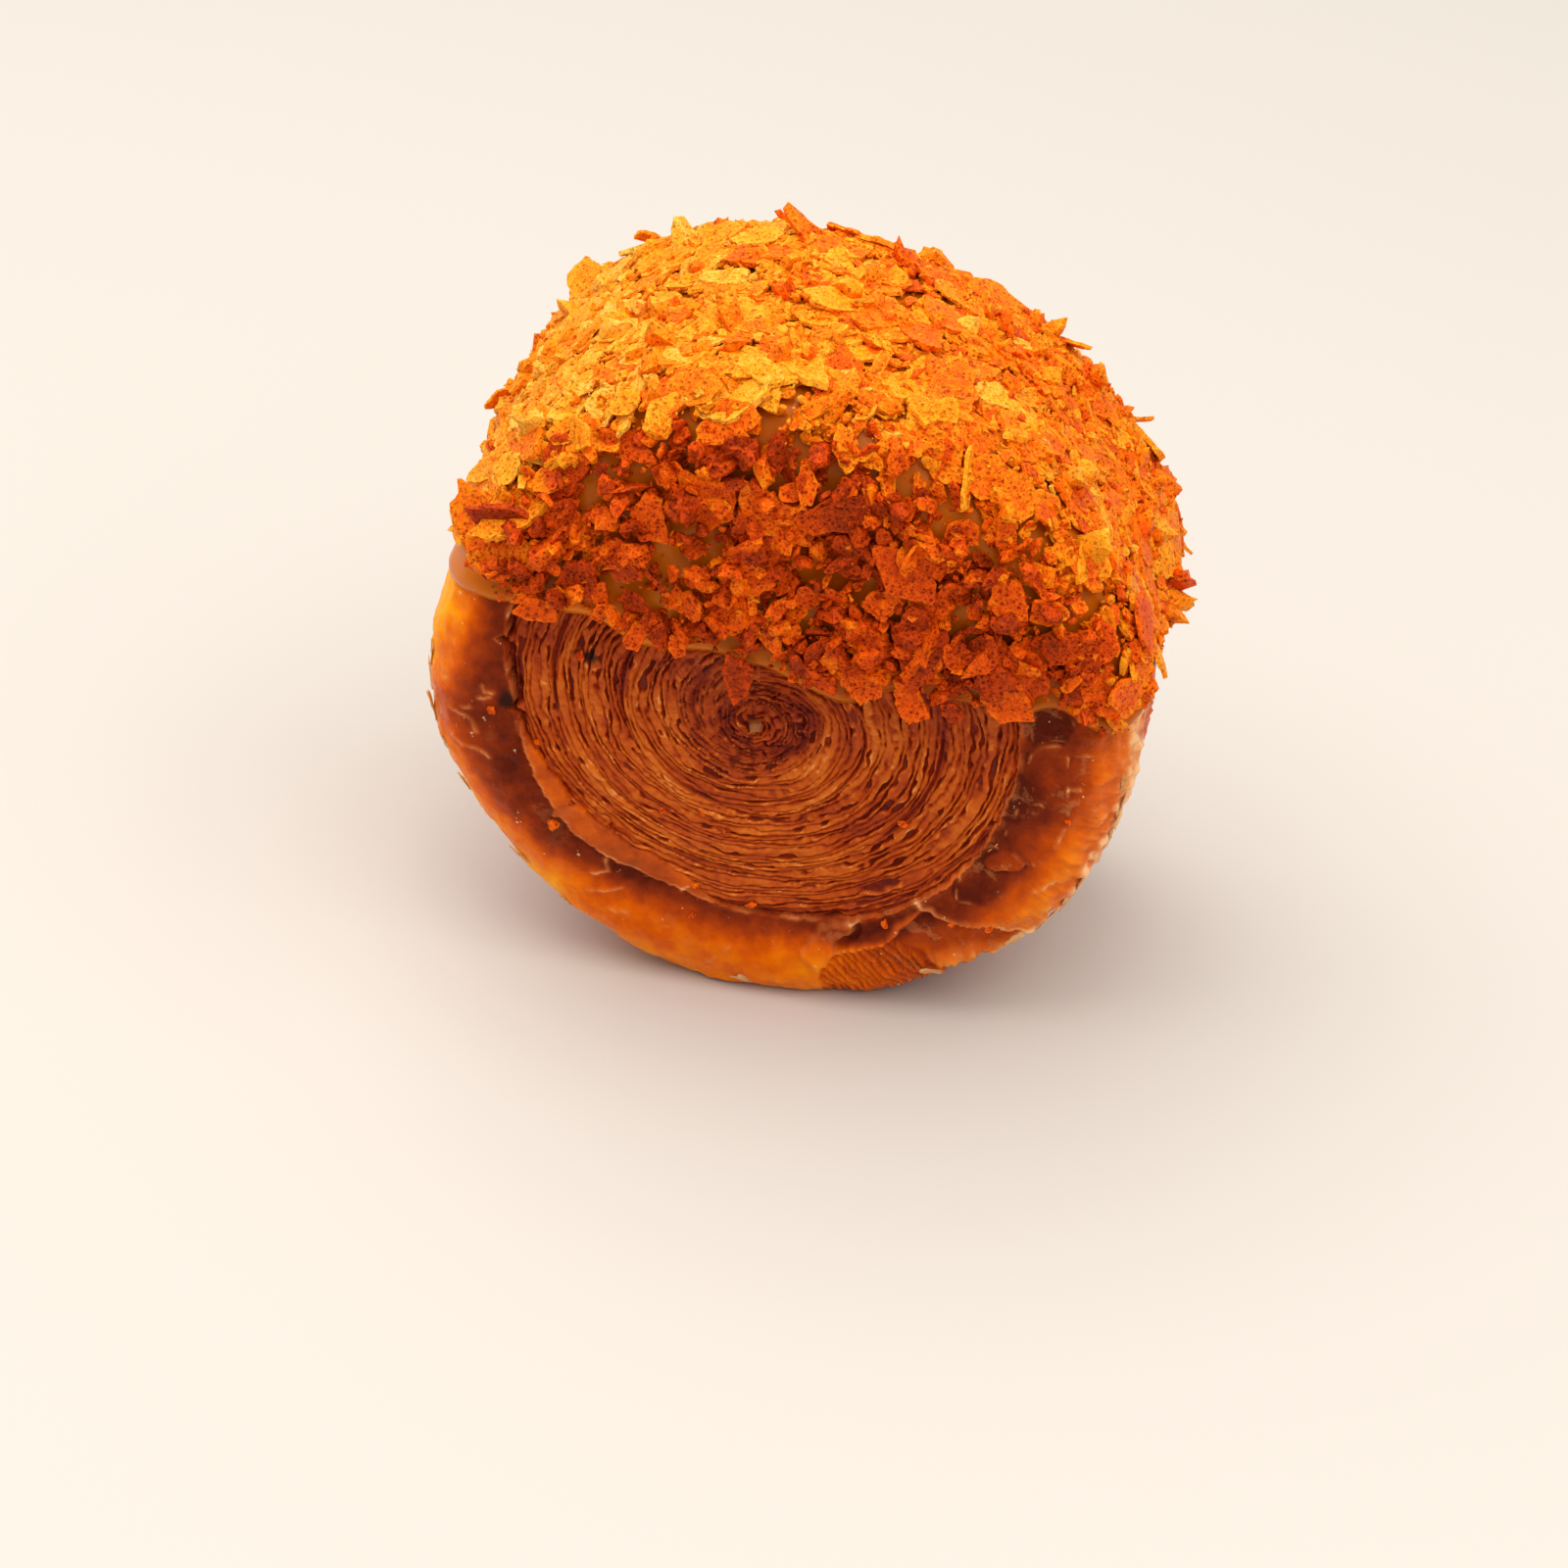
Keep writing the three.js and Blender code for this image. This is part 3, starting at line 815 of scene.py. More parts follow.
def crust_shape(t, theta):
    """How far the crust's skin stands off the plain drum, how lightly it is baked, how much of its film has
    flaked, which on the right side is partly painted sheen, and how pale it has dried."""
    r = np.minimum(t, WHOLE - t)
    front = t < WHOLE / 2
    wide = np.stack([r / (7 * MM) * np.sin(theta), r / (7 * MM) * np.cos(theta), t / (14 * MM)])

    def rough_at(fine, seed):
        return noise(*(fine * wide), seed=seed)

    # The torn edge, with the lower layer that reaches in from under it
    edge, shelf = torn_edge(theta, front)
    past = (r - DISC_RADIUS) / MM - edge
    inner = past + shelf
    on = step(past, 0, 1.5)
    curl = step(rough_at(2, 27), -0.2, 0.5)
    shelved = np.clip(shelf, 0, 1)
    lip = bell(past - 0.25, 0.3) * (1 - shelved)
    shelf_rim = bell(past + 0.3, 0.25) * shelved
    lift = mix(-2.6, 0.3 + 0.15 * rough_at(3, 26), step(inner, -0.15, 0.15))
    lift = mix(lift, 0.15 - 0.25 * shelved, step(past, -0.12, 0.12))
    lift += 0.25 * curl * lip - 0.6 * (1 - gap_width(theta, front)) * (1 - step(past, 0, 4))

    # Unevenness and folds
    lift += 0.4 * rough_at(1, 23) * on
    fold = np.maximum(1 - np.abs(rough_at(1.7, 28)) * 3, 0)
    lift += 0.3 * fold * on * step(rough_at(0.8, 29), -0.1, 0.4)
    lift += 0.1 * rough_at(4, 24) + 0.05 * rough_at(9, 38)

    # From brown on the face to amber round the rim
    curve = (r - FACE) / RIM
    brown, amber = at_angle(theta, TOAST)
    uneven = curve + 0.07 * rough_at(1, 31) + 0.04 * rough_at(3, 32)
    bake = 0.2 + 0.5 * step(uneven, brown - 0.12, amber) + 0.22 * step(uneven, amber, amber + 0.4)
    bake -= 0.34 * step(curve, 0.95, 1.3)
    bake += 0.08 * rough_at(1, 25) + 0.04 * rough_at(3, 37)
    bake += 0.14 * lip - 0.1 * (1 - step(past, 1, 5))
    bake = mix(0.43 + 0.1 * rough_at(3, 39), bake, step(past, -0.12, 0.12))
    # Painted shade in the deep gap under the torn edge.
    bake -= 0.3 * (1 - step(inner, -0.3, 0.2))

    # The right rim is rough and streaky
    rough = step(np.sin(theta), -0.2, 0.7) * step(curve, 0.1, 0.5)
    degrees = np.degrees(theta)
    streaks = noise(degrees / 1.6, r / (5 * MM), seed=33)
    streaks += 0.6 * noise(degrees / 0.8, r / (2.5 * MM), seed=34)
    lumps = rough_at(3, 36)
    lift += 0.35 * rough * streaks + 0.75 * rough * lumps
    bake += rough * (0.05 * streaks + 0.12 * lumps - 0.1 * step(curve, 0.3, 0.7))

    # Film and dry, pale places, mostly on the right rim of the front; the film on the right side is partly
    # painted sheen
    film_and_sheen = np.clip(0.1 + 0.6 * step(np.sin(theta), -0.1, 0.6) + 0.4 * rough_at(1, 35), 0, 1)
    pale = 0.6 * lip * step(rough_at(2, 42), -0.2, 0.3) + 0.5 * shelf_rim
    pale += 0.2 * (1 - step(past, -0.2, 0.1)) * step(inner, 0, 0.4)
    pale += rough * (0.4 * step(streaks, 0.1, 1.0) + 0.5 * step(lumps, 0.0, 0.7)) * step(curve, 0.35, 0.75)
    pale += rough * (0.3 * step(curve, 0.15, 0.5) + 0.5 * step(curve + 0.14 * lumps, 0.55, 0.85))
    pale *= 1 - 0.8 * step(curve + 0.7 * rough_at(0.7, 48), 1.0, 1.9)
    return lift * MM, bake, film_and_sheen, pale * np.where(front, 1, 0.6)


def tail_shape(x, z):
    """The sheet's end at the lower right of the front face: its skin is torn off, which leaves a smooth
    hollow and the ribbed ends of its layers, and its last flap folds over the turn below."""
    x, z = shaken(x, z, 0.45, 1.7, 30)
    hollow, ribbed = within(x, z, HOLLOW, 0.7), within(x, z, RIBS, 0.8)
    flap, pit = within(x, z, FLAP, 0.6), within(x, z, PIT, 1.0)
    ridge = bell(beside(x, z, TORN_LINE), 0.5)
    lump = bell(beside(x, z, LUMP), 1.0)
    lip = bell(beside(x, z, SKIN_LIP), 0.45)
    flap_rim = bell(beside(x, z, FLAP + FLAP[:1]), 0.35) * (1 - ribbed)
    from_left = np.clip((x - 6) / 20, 0, 1)
    ribs = (x * 0.8 + z * 0.6) / 1.1 + 0.4 * noise_over(4, 33, x, z)
    rib = 1 - np.abs(2 * (ribs - np.floor(ribs)) - 1)
    lift = -1.3 * hollow + ribbed * (-0.35 - 0.5 * from_left + 0.6 * (rib - 0.5) * (1 - hollow))
    edges = 0.7 * ridge + 1.2 * lump + 0.3 * lip
    lift += 0.9 * flap * (1 - ribbed) + 0.35 * flap - 0.8 * pit * (1 - 0.4 * flap) + edges
    tone = -0.06 * hollow + ribbed * (0.32 * rib - 0.08 - 0.08 * from_left) * (1 - hollow)
    tone += 0.06 * flap - 0.15 * pit + 0.4 * ridge + 0.25 * lump + 0.2 * lip
    pale = 0.7 * lip + 0.15 * ridge + 0.06 * flap * (1 - pit) + 0.5 * lump + 0.4 * flap_rim
    return lift * MM, tone, np.maximum(ribbed, hollow), pale


def crust(material):
    """The band of crust on both end faces, the rims and the side, in one sheet."""
    inner, outer = DISC_RADIUS - TORN, DISC_RADIUS + 7 * MM
    columns = stops(
        (inner, outer, 0.22 * MM),
        (outer, FACE + RIM, 0.5 * MM),
        (FACE + RIM, FACE + RIM + SIDE, 2.6 * MM),
        (WHOLE - FACE - RIM, WHOLE - outer, 1.2 * MM),
        (WHOLE - outer, WHOLE - inner, 0.55 * MM),
    )
    rows = np.radians(stops((0, 74, 1.6), (74, 178, 0.29), (178, 286, 0.42), (286, 360, 1.6)))
    mesh, t, theta = sheet("crust", columns, rows)
    front = 1 - step(t, FACE + RIM, FACE + RIM + 8 * MM)
    plain = skin(t, theta)
    lift, bake, film_and_sheen, pale = crust_shape(t, theta)
    tail_lift, tail_tone, torn, tail_pale = tail_shape(plain[:, 0], plain[:, 2])
    plate_lift, plate_tone, plate_pale = plates(plain[:, 0], plain[:, 2])
    wrinkled = wrinkles(plain[:, 0], plain[:, 2])
    bake = mix(bake, np.minimum(bake, 0.47), torn * front)
    bake = np.minimum(bake, 0.94)
    bake += front * (tail_tone + plate_tone + 0.1 * wrinkled)
    lift += front * (tail_lift + plate_lift + 0.2 * MM * wrinkled)
    move_to(mesh, skin(t, theta, lift))
    pale = mix(pale, 0, torn * front) + front * (tail_pale + plate_pale + 0.7 * wrinkled)
    paint(mesh, "bake", np.clip(bake, 0, 1))
    paint(mesh, "film", film_and_sheen)
    paint(mesh, "pale", np.clip(pale, 0, 1))
    paint(mesh, "char", front * char_spots(plain[:, 0], plain[:, 2]))
    close_up(mesh)
    piece(mesh, material, "pastry")


# ---- The glaze ----

GLAZE_REACH = math.radians(98)  # how far round from the top the glaze can come down on each side


def dip_height(x, y):
    """How high the lower edge of the glaze is."""
    x, y = x / MM, y / MM
    height = 54.0 + 0.2 * np.maximum(0, 8 - x)
    height += 1.3 * np.sin(x / 3.8) * np.cos(y / 7.6) + 1.2 * noise_over(7, 50, x, y)
    height -= 3.2 * bell(x - 44, 4) * bell(y + 26, 9)
    height += 1.2 * step(x, 8, 20) * (1 - step(x, 36, 42)) * (y < 0)
    return (height - 3.0 * left_bulge(x, y)) * MM


def left_bulge(x, y):
    """Where the glaze has run together in a bare bulge on the left, x and y in millimetres."""
    return np.exp(-(((x + 48) / 5) ** 2) - ((y + 22) / 12) ** 2)


def glaze_lift(points):
    """Thickness of the glaze at points of the skin, negative below its lower edge, and how far above that
    edge they are in millimetres."""
    above = (points[:, 2] - dip_height(points[:, 0], points[:, 1])) / MM
    body = 1.3 + 0.35 * noise_over(6 * MM, 51, *points.T)
    bulge = left_bulge(points[:, 0] / MM, points[:, 1] / MM)
    body -= 0.5 * bulge * (1 - step(above, 8, 16))
    bead = 0.5 * (1 - bulge) * bell(above - 1.6, 1.3)
    rise = np.sqrt(np.clip(above / 1.4, 0, 1))
    return np.where(above > 0, rise * (body + bead), np.maximum(above * 0.8, -0.8)) * MM, above


def glaze(material):
    across, down = np.linspace(4 * MM, WHOLE - 4 * MM, 231), np.linspace(-GLAZE_REACH, GLAZE_REACH, 301)
    mesh, t, theta = sheet("glaze", across, down)
    lift, above = glaze_lift(skin(t, theta))
    move_to(mesh, skin(t, theta, lift))
    close_up(mesh, above < -1.0)
    piece(mesh, material, "crumb_coat")


# ---- The crumbs ----

CRUMB_REACH = 1.75  # how far round from the top crumbs can lie, in radians
GLAZED = 1.2 * MM  # how far off the plain skin the glaze reaches
SHARP = math.radians(32)  # edges of the crumbs that turn by more than this are left hard
PAINTED_LIGHT_ANGLE = -0.6  # the angle from the top, in radians, where the crumbs are painted lightest, as a painted pool of light
BY_PLACE = Vector((1000, 30, 1))  # sorts by x, then y, then z
HALF_SIZE = 0.62  # a shape's half size for a wanted full size, as its outline lies inside that


def cut_off(facing, reach, least):
    """How far out the nearest of a few straight cuts lies in a direction, from how much each faces it."""
    return np.min(np.where(facing > least, reach / np.maximum(facing, least), 9), axis=-1)


def broken_outline(angle, own, corners, jagged):
    """How far out a broken outline with a few straight sides lies in a direction."""
    away = (np.arange(corners) + own.uniform(-0.35, 0.35, corners)) * FULL_TURN / corners
    reach = own.uniform(0.55, 0.95, corners)
    out = cut_off(np.cos(angle[..., None] - away), reach, 0.25)
    shift = own.uniform(0, 50)
    wave = noise(2.5 * np.cos(angle), 2.5 * np.sin(angle), shift, seed=60)
    nick = noise(9 * np.cos(angle), 9 * np.sin(angle), shift, seed=61)
    nick += 0.6 * noise(20 * np.cos(angle), 20 * np.sin(angle), shift, seed=62)
    return np.minimum(out, 1.35) * (1 + jagged * wave + 1.2 * jagged * nick)


def shard(name, cells, corners, jagged, thickness, rough, seed):
    """A flat broken piece of wafer in the XY plane, whose middle is at the origin and whose half width is
    about 1."""
    own = np.random.default_rng(seed)
    bm = bmesh.new()
    bmesh.ops.create_grid(bm, x_segments=cells, y_segments=cells, size=1.0)
    bmesh.ops.solidify(bm, geom=bm.faces[:], thickness=thickness)
    bmesh.ops.recalc_face_normals(bm, faces=bm.faces)
    # Solidify leaves the vertices and faces in an order that differs from run to run
    bm.verts.sort(key=lambda vertex: vertex.co.dot(BY_PLACE))
    bm.faces.sort(key=lambda face: face.calc_center_median().dot(BY_PLACE))
    mesh = mesh_from(bm, name)
    flat = places(mesh)
    flat[:, 2] -= flat[:, 2].mean()
    square = np.max(np.abs(flat[:, :2]), axis=1)
    angle = np.arctan2(flat[:, 1], flat[:, 0])
    out = square * broken_outline(angle, own, corners, jagged)
    flat[:, 0], flat[:, 1] = out * np.cos(angle), out * np.sin(angle)
    shake = [noise(*(flat.T * 2.2 + 9 * axis), seed=seed + 62) for axis in range(3)]
    fine = [noise(*(flat.T * 6 + 9 * axis), seed=seed + 63) for axis in range(3)]
    bend = own.uniform(-0.16, 0.16, 2)
    flat += rough * np.stack(shake, axis=1) + 0.45 * rough * np.stack(fine, axis=1)
    flat[:, 2] += bend[0] * flat[:, 0] ** 2 + bend[1] * flat[:, 1] ** 2
    move_to(mesh, flat)
    paint(mesh, "tone", 0.1 * step(square, 0.6, 1.0) - 0.05)
    return mesh


def lump(name, cuts, planes, rough, seed):
    """An angular crumb with a half width of about 1."""
    own = np.random.default_rng(seed)
    bm = bmesh.new()
    bmesh.ops.create_cube(bm, size=2)
    if cuts:
        bmesh.ops.subdivide_edges(bm, edges=bm.edges[:], cuts=cuts, use_grid_fill=True)
    mesh = mesh_from(bm, name)
    way = unit(places(mesh))
    away = unit(own.normal(size=(planes, 3)))
    out = cut_off(way @ away.T, own.uniform(0.5, 0.9, planes), 0.3)
    out = np.minimum(out, 1.25) * (1 + rough * noise(*(way.T * 1.9), seed=seed + 70))
    move_to(mesh, way * out[:, None] * own.uniform(0.65, 1.15, 3))
    paint(mesh, "tone", 0.2 * (out - out.mean()))
    return mesh


class Heap:
    """Many copies of a few shapes, joined in one mesh."""

    def __init__(self, name):
        self.name = name
        self.bm = bmesh.new()

    def put(self, shapes, number, place, tone):
        """Adds a copy of one of a few shapes."""
        work = shapes[number % len(shapes)].copy()
        work.transform(place)
        painted = work.attributes["tone"].data
        tones = np.empty(len(painted), dtype=np.float32)
        painted.foreach_get("value", tones)
        painted.foreach_set("value", tones + np.float32(tone))
        self.bm.from_mesh(work)
        bpy.data.meshes.remove(work)

    def done(self, material, node):
        mesh = mesh_from(self.bm, self.name)
        piece(mesh, material, node)
        mesh.set_sharp_from_angle(angle=SHARP)


def lie_on(point, out, along, spin, tilt, size):
    """The place of a shape that lies on the skin, turned about the way out by spin, and tilted."""
    out, along = Vector(out), Vector(along)
    side = out.cross(along).normalized()
    stand = Matrix((along, side, out)).transposed().to_4x4()
    turned = stand @ Matrix.Rotation(spin, 4, "Z") @ Euler((*tilt, 0)).to_matrix().to_4x4()
    return Matrix.Translation(Vector(point)) @ turned @ Matrix.Diagonal((*size, 1))


def coat_spots(count, low, on_faces, on_side):
    """Random spots on the coated skin, at least low millimetres above the glaze's edge. Only the shares
    on_faces and on_side of the spots are kept. The bulge of glaze at the left is bare."""
    found = []
    total, tries = 0, 4000
    while total < count:
        t = rng.uniform(3 * MM, WHOLE - 3 * MM, tries)
        theta = rng.uniform(-CRUMB_REACH, CRUMB_REACH, tries)
        r, _, out_r, _ = profile(t)
        plain = skin(t, theta)
        above = glaze_lift(plain)[1]
        bare = (plain[:, 0] < -41.5 * MM) & (plain[:, 2] < 69 * MM) & (plain[:, 1] < 4 * MM)
        fringe = 4.2 * np.clip(noise_over(4.5 * MM, 54, *plain.T) + 0.05, 0, 1)
        kept = (rng.uniform(0, RADIUS, tries) < r) & (above > low + fringe) & ~bare
        thin = 0.7 * step(noise_over(7 * MM, 55, *plain.T), 0.3, 0.6)
        kept &= rng.uniform(0, 1, tries) < mix(on_faces, on_side, step(out_r, 0.2, 0.8)) * (1 - thin)
        found.append(np.stack([t[kept], theta[kept]], axis=-1))
        total += int(kept.sum())
    return np.concatenate(found)[:count]


def scatter(heap, shapes, count, sizes, flat, lift, tilt, low, on_faces, on_side):
    """Strews crumbs over the coat. They stand off and lean more on the front, whose crumbs are painted darker
    as shade; elsewhere they are painted lightest round one angle and lighter where they face up, as painted
    light.
    """
    spots = coat_spots(count, low, on_faces, on_side)
    at, out, along = skin_frame(spots[:, 0], spots[:, 1], GLAZED)
    face_on, forward = np.abs(out[:, 1]), np.maximum(-out[:, 1], 0)
    for i in range(count):
        size = mix(*sizes, rng.uniform() ** 1.8) * MM
        height = rng.uniform(*lift) * (1 + 1.2 * forward[i]) * MM
        lean = rng.normal(0, tilt * (1 + 2.4 * forward[i]), 2)
        long = rng.uniform(0.8, 1.3) * (1.6 if rng.uniform() < 0.2 else 1)
        shape = size * Vector((long, rng.uniform(0.6, 1.0), flat * rng.uniform(0.8, 1.25)))
        place = lie_on(at[i] + out[i] * height, out[i], along[i], rng.uniform(0, FULL_TURN), lean, shape)
        # Painted light and shade: crumbs that face up are lighter, those on the end faces darker, and the
        # coat is painted lightest round one angle from the top.
        facing_up = place.col[2].xyz.normalized().z - out[i, 2]
        shade = step(face_on[i], 0.66, 1.0) * (1 if out[i, 1] < 0 else 0.6)
        tone = mix(0.58 + 0.21 * bell(spots[i, 1] - PAINTED_LIGHT_ANGLE, 0.6), 0.3 + 0.25 * facing_up, shade)
        tone += rng.uniform(-0.14, 0.16)
        tone -= 0.16 * (rng.uniform() < 0.35)
        tone += 0.2 * (rng.uniform() < 0.05)
        tone = np.clip(tone, 0.08, mix(1.0, 0.44, shade))
        heap.put(shapes, rng.integers(len(shapes)), place, tone)


def front_frame(x, z, lift):
    """The frame of the skin at a spot on the front, seen straight on, x and z in millimetres."""
    goal = np.array([x * MM, z * MM])
    aim = goal.copy()
    for _ in range(6):
        dx, dz = aim[0] - AXIS_X, aim[1] - AXIS_Z
        r = math.hypot(dx, dz)
        bulge = np.clip((r - FACE) / RIM_WIDTH, 0, 0.98)
        t, theta = min(r, FACE) + RIM * math.asin(bulge) / (math.pi / 2), math.atan2(dx, dz)
        aim += goal - skin(t, theta)[[0, 2]]
    return skin_frame(t, theta, lift)


# The largest flakes on the front: x, z, width and height in millimetres, and turn in degrees
BIG_FLAKES = (
    (19, 65.6, 7, 12, 2), (11, 59.4, 7, 8, -8), (31, 60, 6.5, 8.5, 10), (-5.5, 56.4, 4.6, 7, 0),
    (-7.2, 66, 7.5, 6.5, 15), (-18.6, 80, 4.5, 6.5, 0), (-28.6, 68.5, 6.4, 6.4, 30), (-33.2, 63.5, 6, 4, 0),
    (18.5, 56, 4.3, 5.7, 20), (3.2, 60, 3.4, 4.6, 0), (-14, 60.6, 2.4, 4, 10), (-20.4, 61, 2.8, 4.4, -10),
    (23.8, 55.8, 2.6, 3.2, 40), (34.2, 65.8, 4.5, 5, 0), (13.5, 71.3, 5, 4, 25), (27.1, 64, 4.5, 4, 0),
    (30.3, 74, 5, 5, 0), (-10, 83.5, 9, 8, 10), (8.5, 84.5, 9, 7, 0), (45, 66.5, 6, 7, 0),
    (-24, 74, 4.5, 4, 0),
)

# Flakes that stand out on the side: y and angle, length and width in millimetres, and how far they lean
SPIKES = (
    (25, -48, 4.4, 4.2, 1.15), (25, -43, 2.6, 1.8, 0.8), (23, -49, 2.4, 1.4, 0.5), (12, -8, 5, 1.8, 0.05),
    (24, -33, 3, 2.4, 0.7), (10, -63, 2.6, 2, 0.8), (22, 40, 3.6, 1.4, 0.4), (24, 58, 2.8, 2.2, 0.9),
    (24, 82, 2.6, 2.6, 0.6), (-6, -20, 4.2, 1.5, 0.3), (-16, 12, 3.4, 1.3, 0.4),
)

# Stray crumbs lower down on the front: x, z and size in millimetres
FALLEN = (
    (-41, 44.5, 1.5), (-28.3, 55.2, 1.6), (-34.2, 40.1, 1), (-32.2, 26.7, 2), (-16.3, 31, 0.9),
    (-10.6, 31.4, 0.7), (-7.4, 28.9, 0.7), (-11.1, 19, 1.1), (-11.7, 13.6, 1.2), (-3.2, 16.7, 1.2),
    (-17, 57.9, 1.1), (18, 34, 1.4), (40.5, 37.7, 1), (16.2, 16.8, 1.2), (25.6, 18.1, 1.1),
    (30.8, 17.2, 1), (42.4, 55.5, 0.9),
)


def big_flakes(shapes, heap):
    """The flakes that catch the eye on the front, each in its own place."""
    for i, (x, z, width, height, turn) in enumerate(BIG_FLAKES):
        at, out, _ = front_frame(x, z, 1.4 * MM)
        level = Vector((1, 0, 0)) - Vector(out) * float(out[0])
        size = Vector((width, height, 3.4)) * HALF_SIZE * MM
        lean = rng.normal(0, 0.1, 2)
        place = lie_on(at + out * 2.1 * MM, out, level.normalized(), math.radians(turn), lean, size)
        # These flakes are painted dark, as shade on the front face, one in three the darkest.
        heap.put(shapes, i, place, 0.12 + 0.24 * (i % 3 > 0))


def spikes(shapes, heap):
    """The flakes that stand out from the coat's outline."""
    for i, (y, angle, length, width, lean) in enumerate(SPIKES):
        at, out, along = skin_frame(WHOLE / 2 + y * MM, math.radians(angle), GLAZED)
        foot = at + out * (1.2 + 0.5 * length * math.sin(lean)) * MM
        place = lie_on(foot, out, along, 0.6 * i, (0.1, -lean), Vector((length, width, 1.6)) * MM)
        heap.put(shapes, i, place, rng.uniform(0.5, 0.8))


def fallen_crumbs(shapes, heap):
    for i, (x, z, size) in enumerate(FALLEN):
        at, out, along = front_frame(x, z, 0.2 * MM)
        lean = rng.normal(0, 0.4, 2)
        place = lie_on(at, out, along, rng.uniform(0, 6), lean, size * HALF_SIZE * MM * Vector((1, 0.8, 0.7)))
        heap.put(shapes, i, place, rng.uniform(0.26, 0.46))


def several(make, name, count, seed, *how):
    """A few shapes of one kind."""
    return [make(f"{name}{i}", *how, seed + i) for i in range(count)]


def crumbs(material):
    large = several(shard, "large", 14, 300, 12, 5, 0.07, 0.3, 0.07)
    broad = several(shard, "broad", 14, 315, 8, 6, 0.08, 0.3, 0.08)
    middle = several(shard, "middle", 14, 330, 4, 6, 0.1, 0.34, 0.09)
    small = several(shard, "small", 14, 350, 3, 5, 0.14, 0.4, 0.14)
    chunks = several(lump, "chunk", 14, 370, 2, 9, 0.5)
    grains = several(lump, "grain", 10, 390, 1, 7, 0.5)
    specks = several(lump, "speck", 8, 410, 0, 6, 0.5)
    # Piece, shapes, how many, sizes, thickness for the width, distance off the glaze, lean, how far above
    # the glaze's edge they start, and the shares of them that the faces and the side keep
    kinds = (
        ("crumb_shards", broad, 480, (2.3, 5.4), 0.5, (0.5, 1.3), 0.08, 4.4, 0.35, 1.0),
        ("crumb_flakes", middle, 1600, (1.2, 2.9), 0.65, (0.2, 1.1), 0.14, 3.0, 0.45, 1.0),
        ("crumb_chips", small, 2350, (0.6, 1.7), 0.8, (0.2, 1.3), 0.26, 2.0, 0.32, 0.9),
        ("crumb_chunks", chunks, 1150, (0.9, 2.6), 1.0, (0.3, 1.4), 0.6, 2.2, 0.8, 0.25),
        ("crumb_specks", specks, 4500, (0.25, 0.6), 1.0, (-0.2, 1.0), 1.0, 0.8, 0.35, 1.0),
        ("crumb_grains", grains, 2850, (0.4, 0.9), 1.0, (-0.1, 1.2), 1.0, 1.2, 0.35, 0.6),
    )
    for name, shapes, *lie in kinds:
        heap = Heap(name)
        if shapes is broad:
            big_flakes(large, heap)
            spikes(large, heap)
        if shapes is grains:
            fallen_crumbs(chunks, heap)
        scatter(heap, shapes, *lie)
        heap.done(material, "crumb_coat")


# Shreds of dry film along the rims: angle, share of the rim, length and width in millimetres, and turn
CURLS = (
    (272, 0.75, 5, 1.3, 80), (266, 0.9, 4, 1.2, 100), (261, 0.8, 5.5, 1.5, 85), (255, 0.7, 3.5, 1, 60),
    (246, 0.8, 3, 0.8, 95), (230, 0.6, 3.5, 0.8, 90), (219, 0.55, 2.6, 0.8, 75), (183, 0.45, 3.4, 1.4, 80),
    (103, 0.8, 5, 1.4, 85), (109, 0.9, 4, 1.2, 100), (116, 0.75, 5, 1.4, 80), (122, 0.8, 4.5, 1.6, 95),
    (128, 0.75, 5, 1.4, 88), (133, 0.6, 4, 1.2, 80), (149, 0.45, 3.6, 1.6, 40), (96, 0.7, 3, 1, 100),
)


def curls():
    """Shreds of thin dry film that stand off the rims."""
    heap = Heap("skin_curls")
    shreds = several(shard, "shred", 6, 420, 6, 5, 0.16, 0.12, 0.22)
    for i, (angle, share, length, width, turn) in enumerate(CURLS):
        at, out, along = skin_frame(FACE + RIM * share, math.radians(angle), 0.1 * MM)
        size = Vector((length * 0.6, width * 0.6, 0.9)) * MM
        lean = (0.18 * (-1) ** i, 0.1)
        place = lie_on(at + out * 0.15 * width * MM, out, along, math.radians(turn), lean, size)
        heap.put(shreds, i, place, 0.5)
    heap.done(film_finish(), "pastry")


def crystal():
    """The coarse sugar crystal in the eye of the spiral."""
    bm = bmesh.new()
    bmesh.ops.create_cube(bm, size=1.7 * MM)
    bmesh.ops.bevel(bm, geom=bm.edges[:], offset=0.2 * MM, segments=2, affect="EDGES", profile=0.5)
    place = lie_on(*front_frame(-3.6, 46.7, -0.6 * MM), 0.8, (0.2, 0.3), (1, 0.9, 0.7))
    bmesh.ops.transform(bm, matrix=place, verts=bm.verts)
    mesh = mesh_from(bm, "sugar_crystal")
    made = Finish("sugar crystal", 0.4, Specular_IOR_Level=0.2)
    cloud = made.noise(made.place(), 900, 3)
    made.set("Base Color", made.ramp(cloud, (0.3, 128, 66, 28), (0.7, 170, 102, 54)))
    made.set("Normal", made.bump(cloud, 0.1 * MM, 0.5))
    piece(mesh, made.material, "pastry")


# ---- Floor, light and camera ----


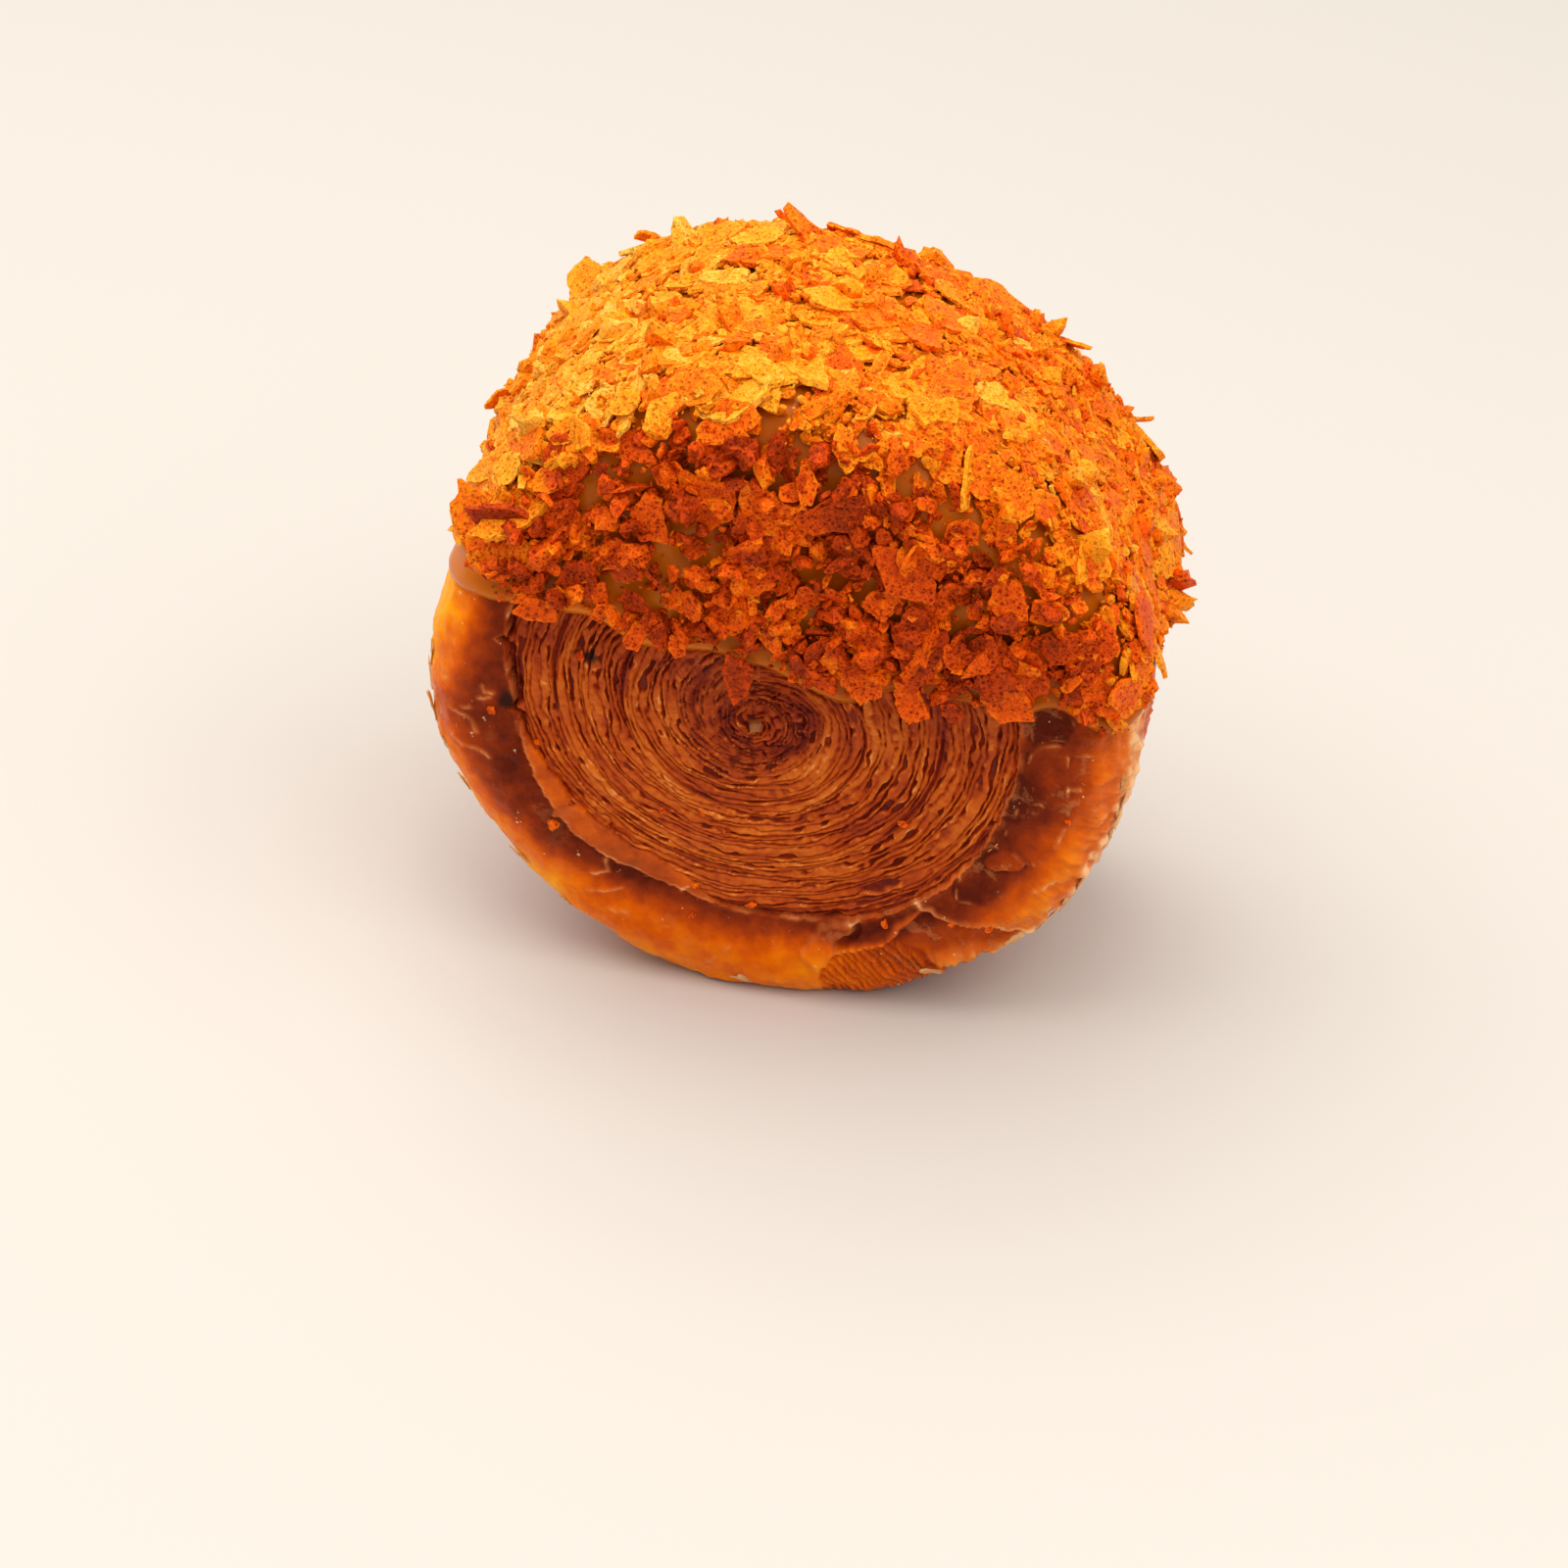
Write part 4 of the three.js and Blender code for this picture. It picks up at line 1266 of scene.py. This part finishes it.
def floor():
    bm = bmesh.new()
    bmesh.ops.create_grid(bm, x_segments=1, y_segments=1, size=3.0)
    mesh = mesh_from(bm, "floor")
    made = Finish("floor", 0.6)
    made.set("Base Color", (*srgb(200, 194, 186), 1.0))
    mesh.materials.append(made.material)
    show("floor", mesh)


def light(name, at, target, size, power, colour):
    """A round soft light, aimed at a target."""
    lamp = bpy.data.lights.new(name, "AREA")
    lamp.shape = "DISK"
    lamp.size = size
    lamp.energy = power
    lamp.color = colour
    made = show(name, lamp)
    made.location = at
    made.rotation_euler = (Vector(target) - Vector(at)).to_track_quat("-Z", "Y").to_euler()


def lights():
    middle = (0, 0, 50 * MM)
    light("left", (-0.42, 0.1, 1.02), middle, 1.5, 13, (1.0, 0.97, 0.92))
    light("right", (0.5, -0.3, 0.95), middle, 1.2, 8, (1.0, 0.98, 0.95))
    world = bpy.data.worlds.new("studio")
    world.use_nodes = True
    background = world.node_tree.nodes["Background"]
    background.inputs["Color"].default_value = (1.0, 0.98, 0.96, 1)
    background.inputs["Strength"].default_value = 0.62
    bpy.context.scene.world = world
    bpy.context.scene.view_settings.view_transform = "Standard"


def camera():
    """Looks down at the front, turned a little to the right and rolled."""
    turn, height, roll = math.radians(8.34), math.radians(33.6), math.radians(2.47)
    target = Vector((AXIS_X - 2.24 * MM, AXIS_Y, 18.6 * MM))
    back = Vector((math.sin(turn) * math.cos(height), -math.cos(turn) * math.cos(height), math.sin(height)))
    right = Vector((math.cos(turn), math.sin(turn), 0))
    up = back.cross(right)
    right, up = right * math.cos(roll) + up * math.sin(roll), up * math.cos(roll) - right * math.sin(roll)
    lens = bpy.data.cameras.new("camera")
    lens.lens = 93.1
    lens.sensor_width = 36
    made = show("camera", lens)
    place = Matrix((right, up, back)).transposed().to_4x4()
    place.translation = target + back * 600 * MM
    made.matrix_world = place
    bpy.context.scene.camera = made


# ---- The whole ----

floor()
lights()
camera()
spirals(layer_finish())
crust(crust_finish())
crystal()
curls()
glaze(glaze_finish())
crumbs(crumb_finish())
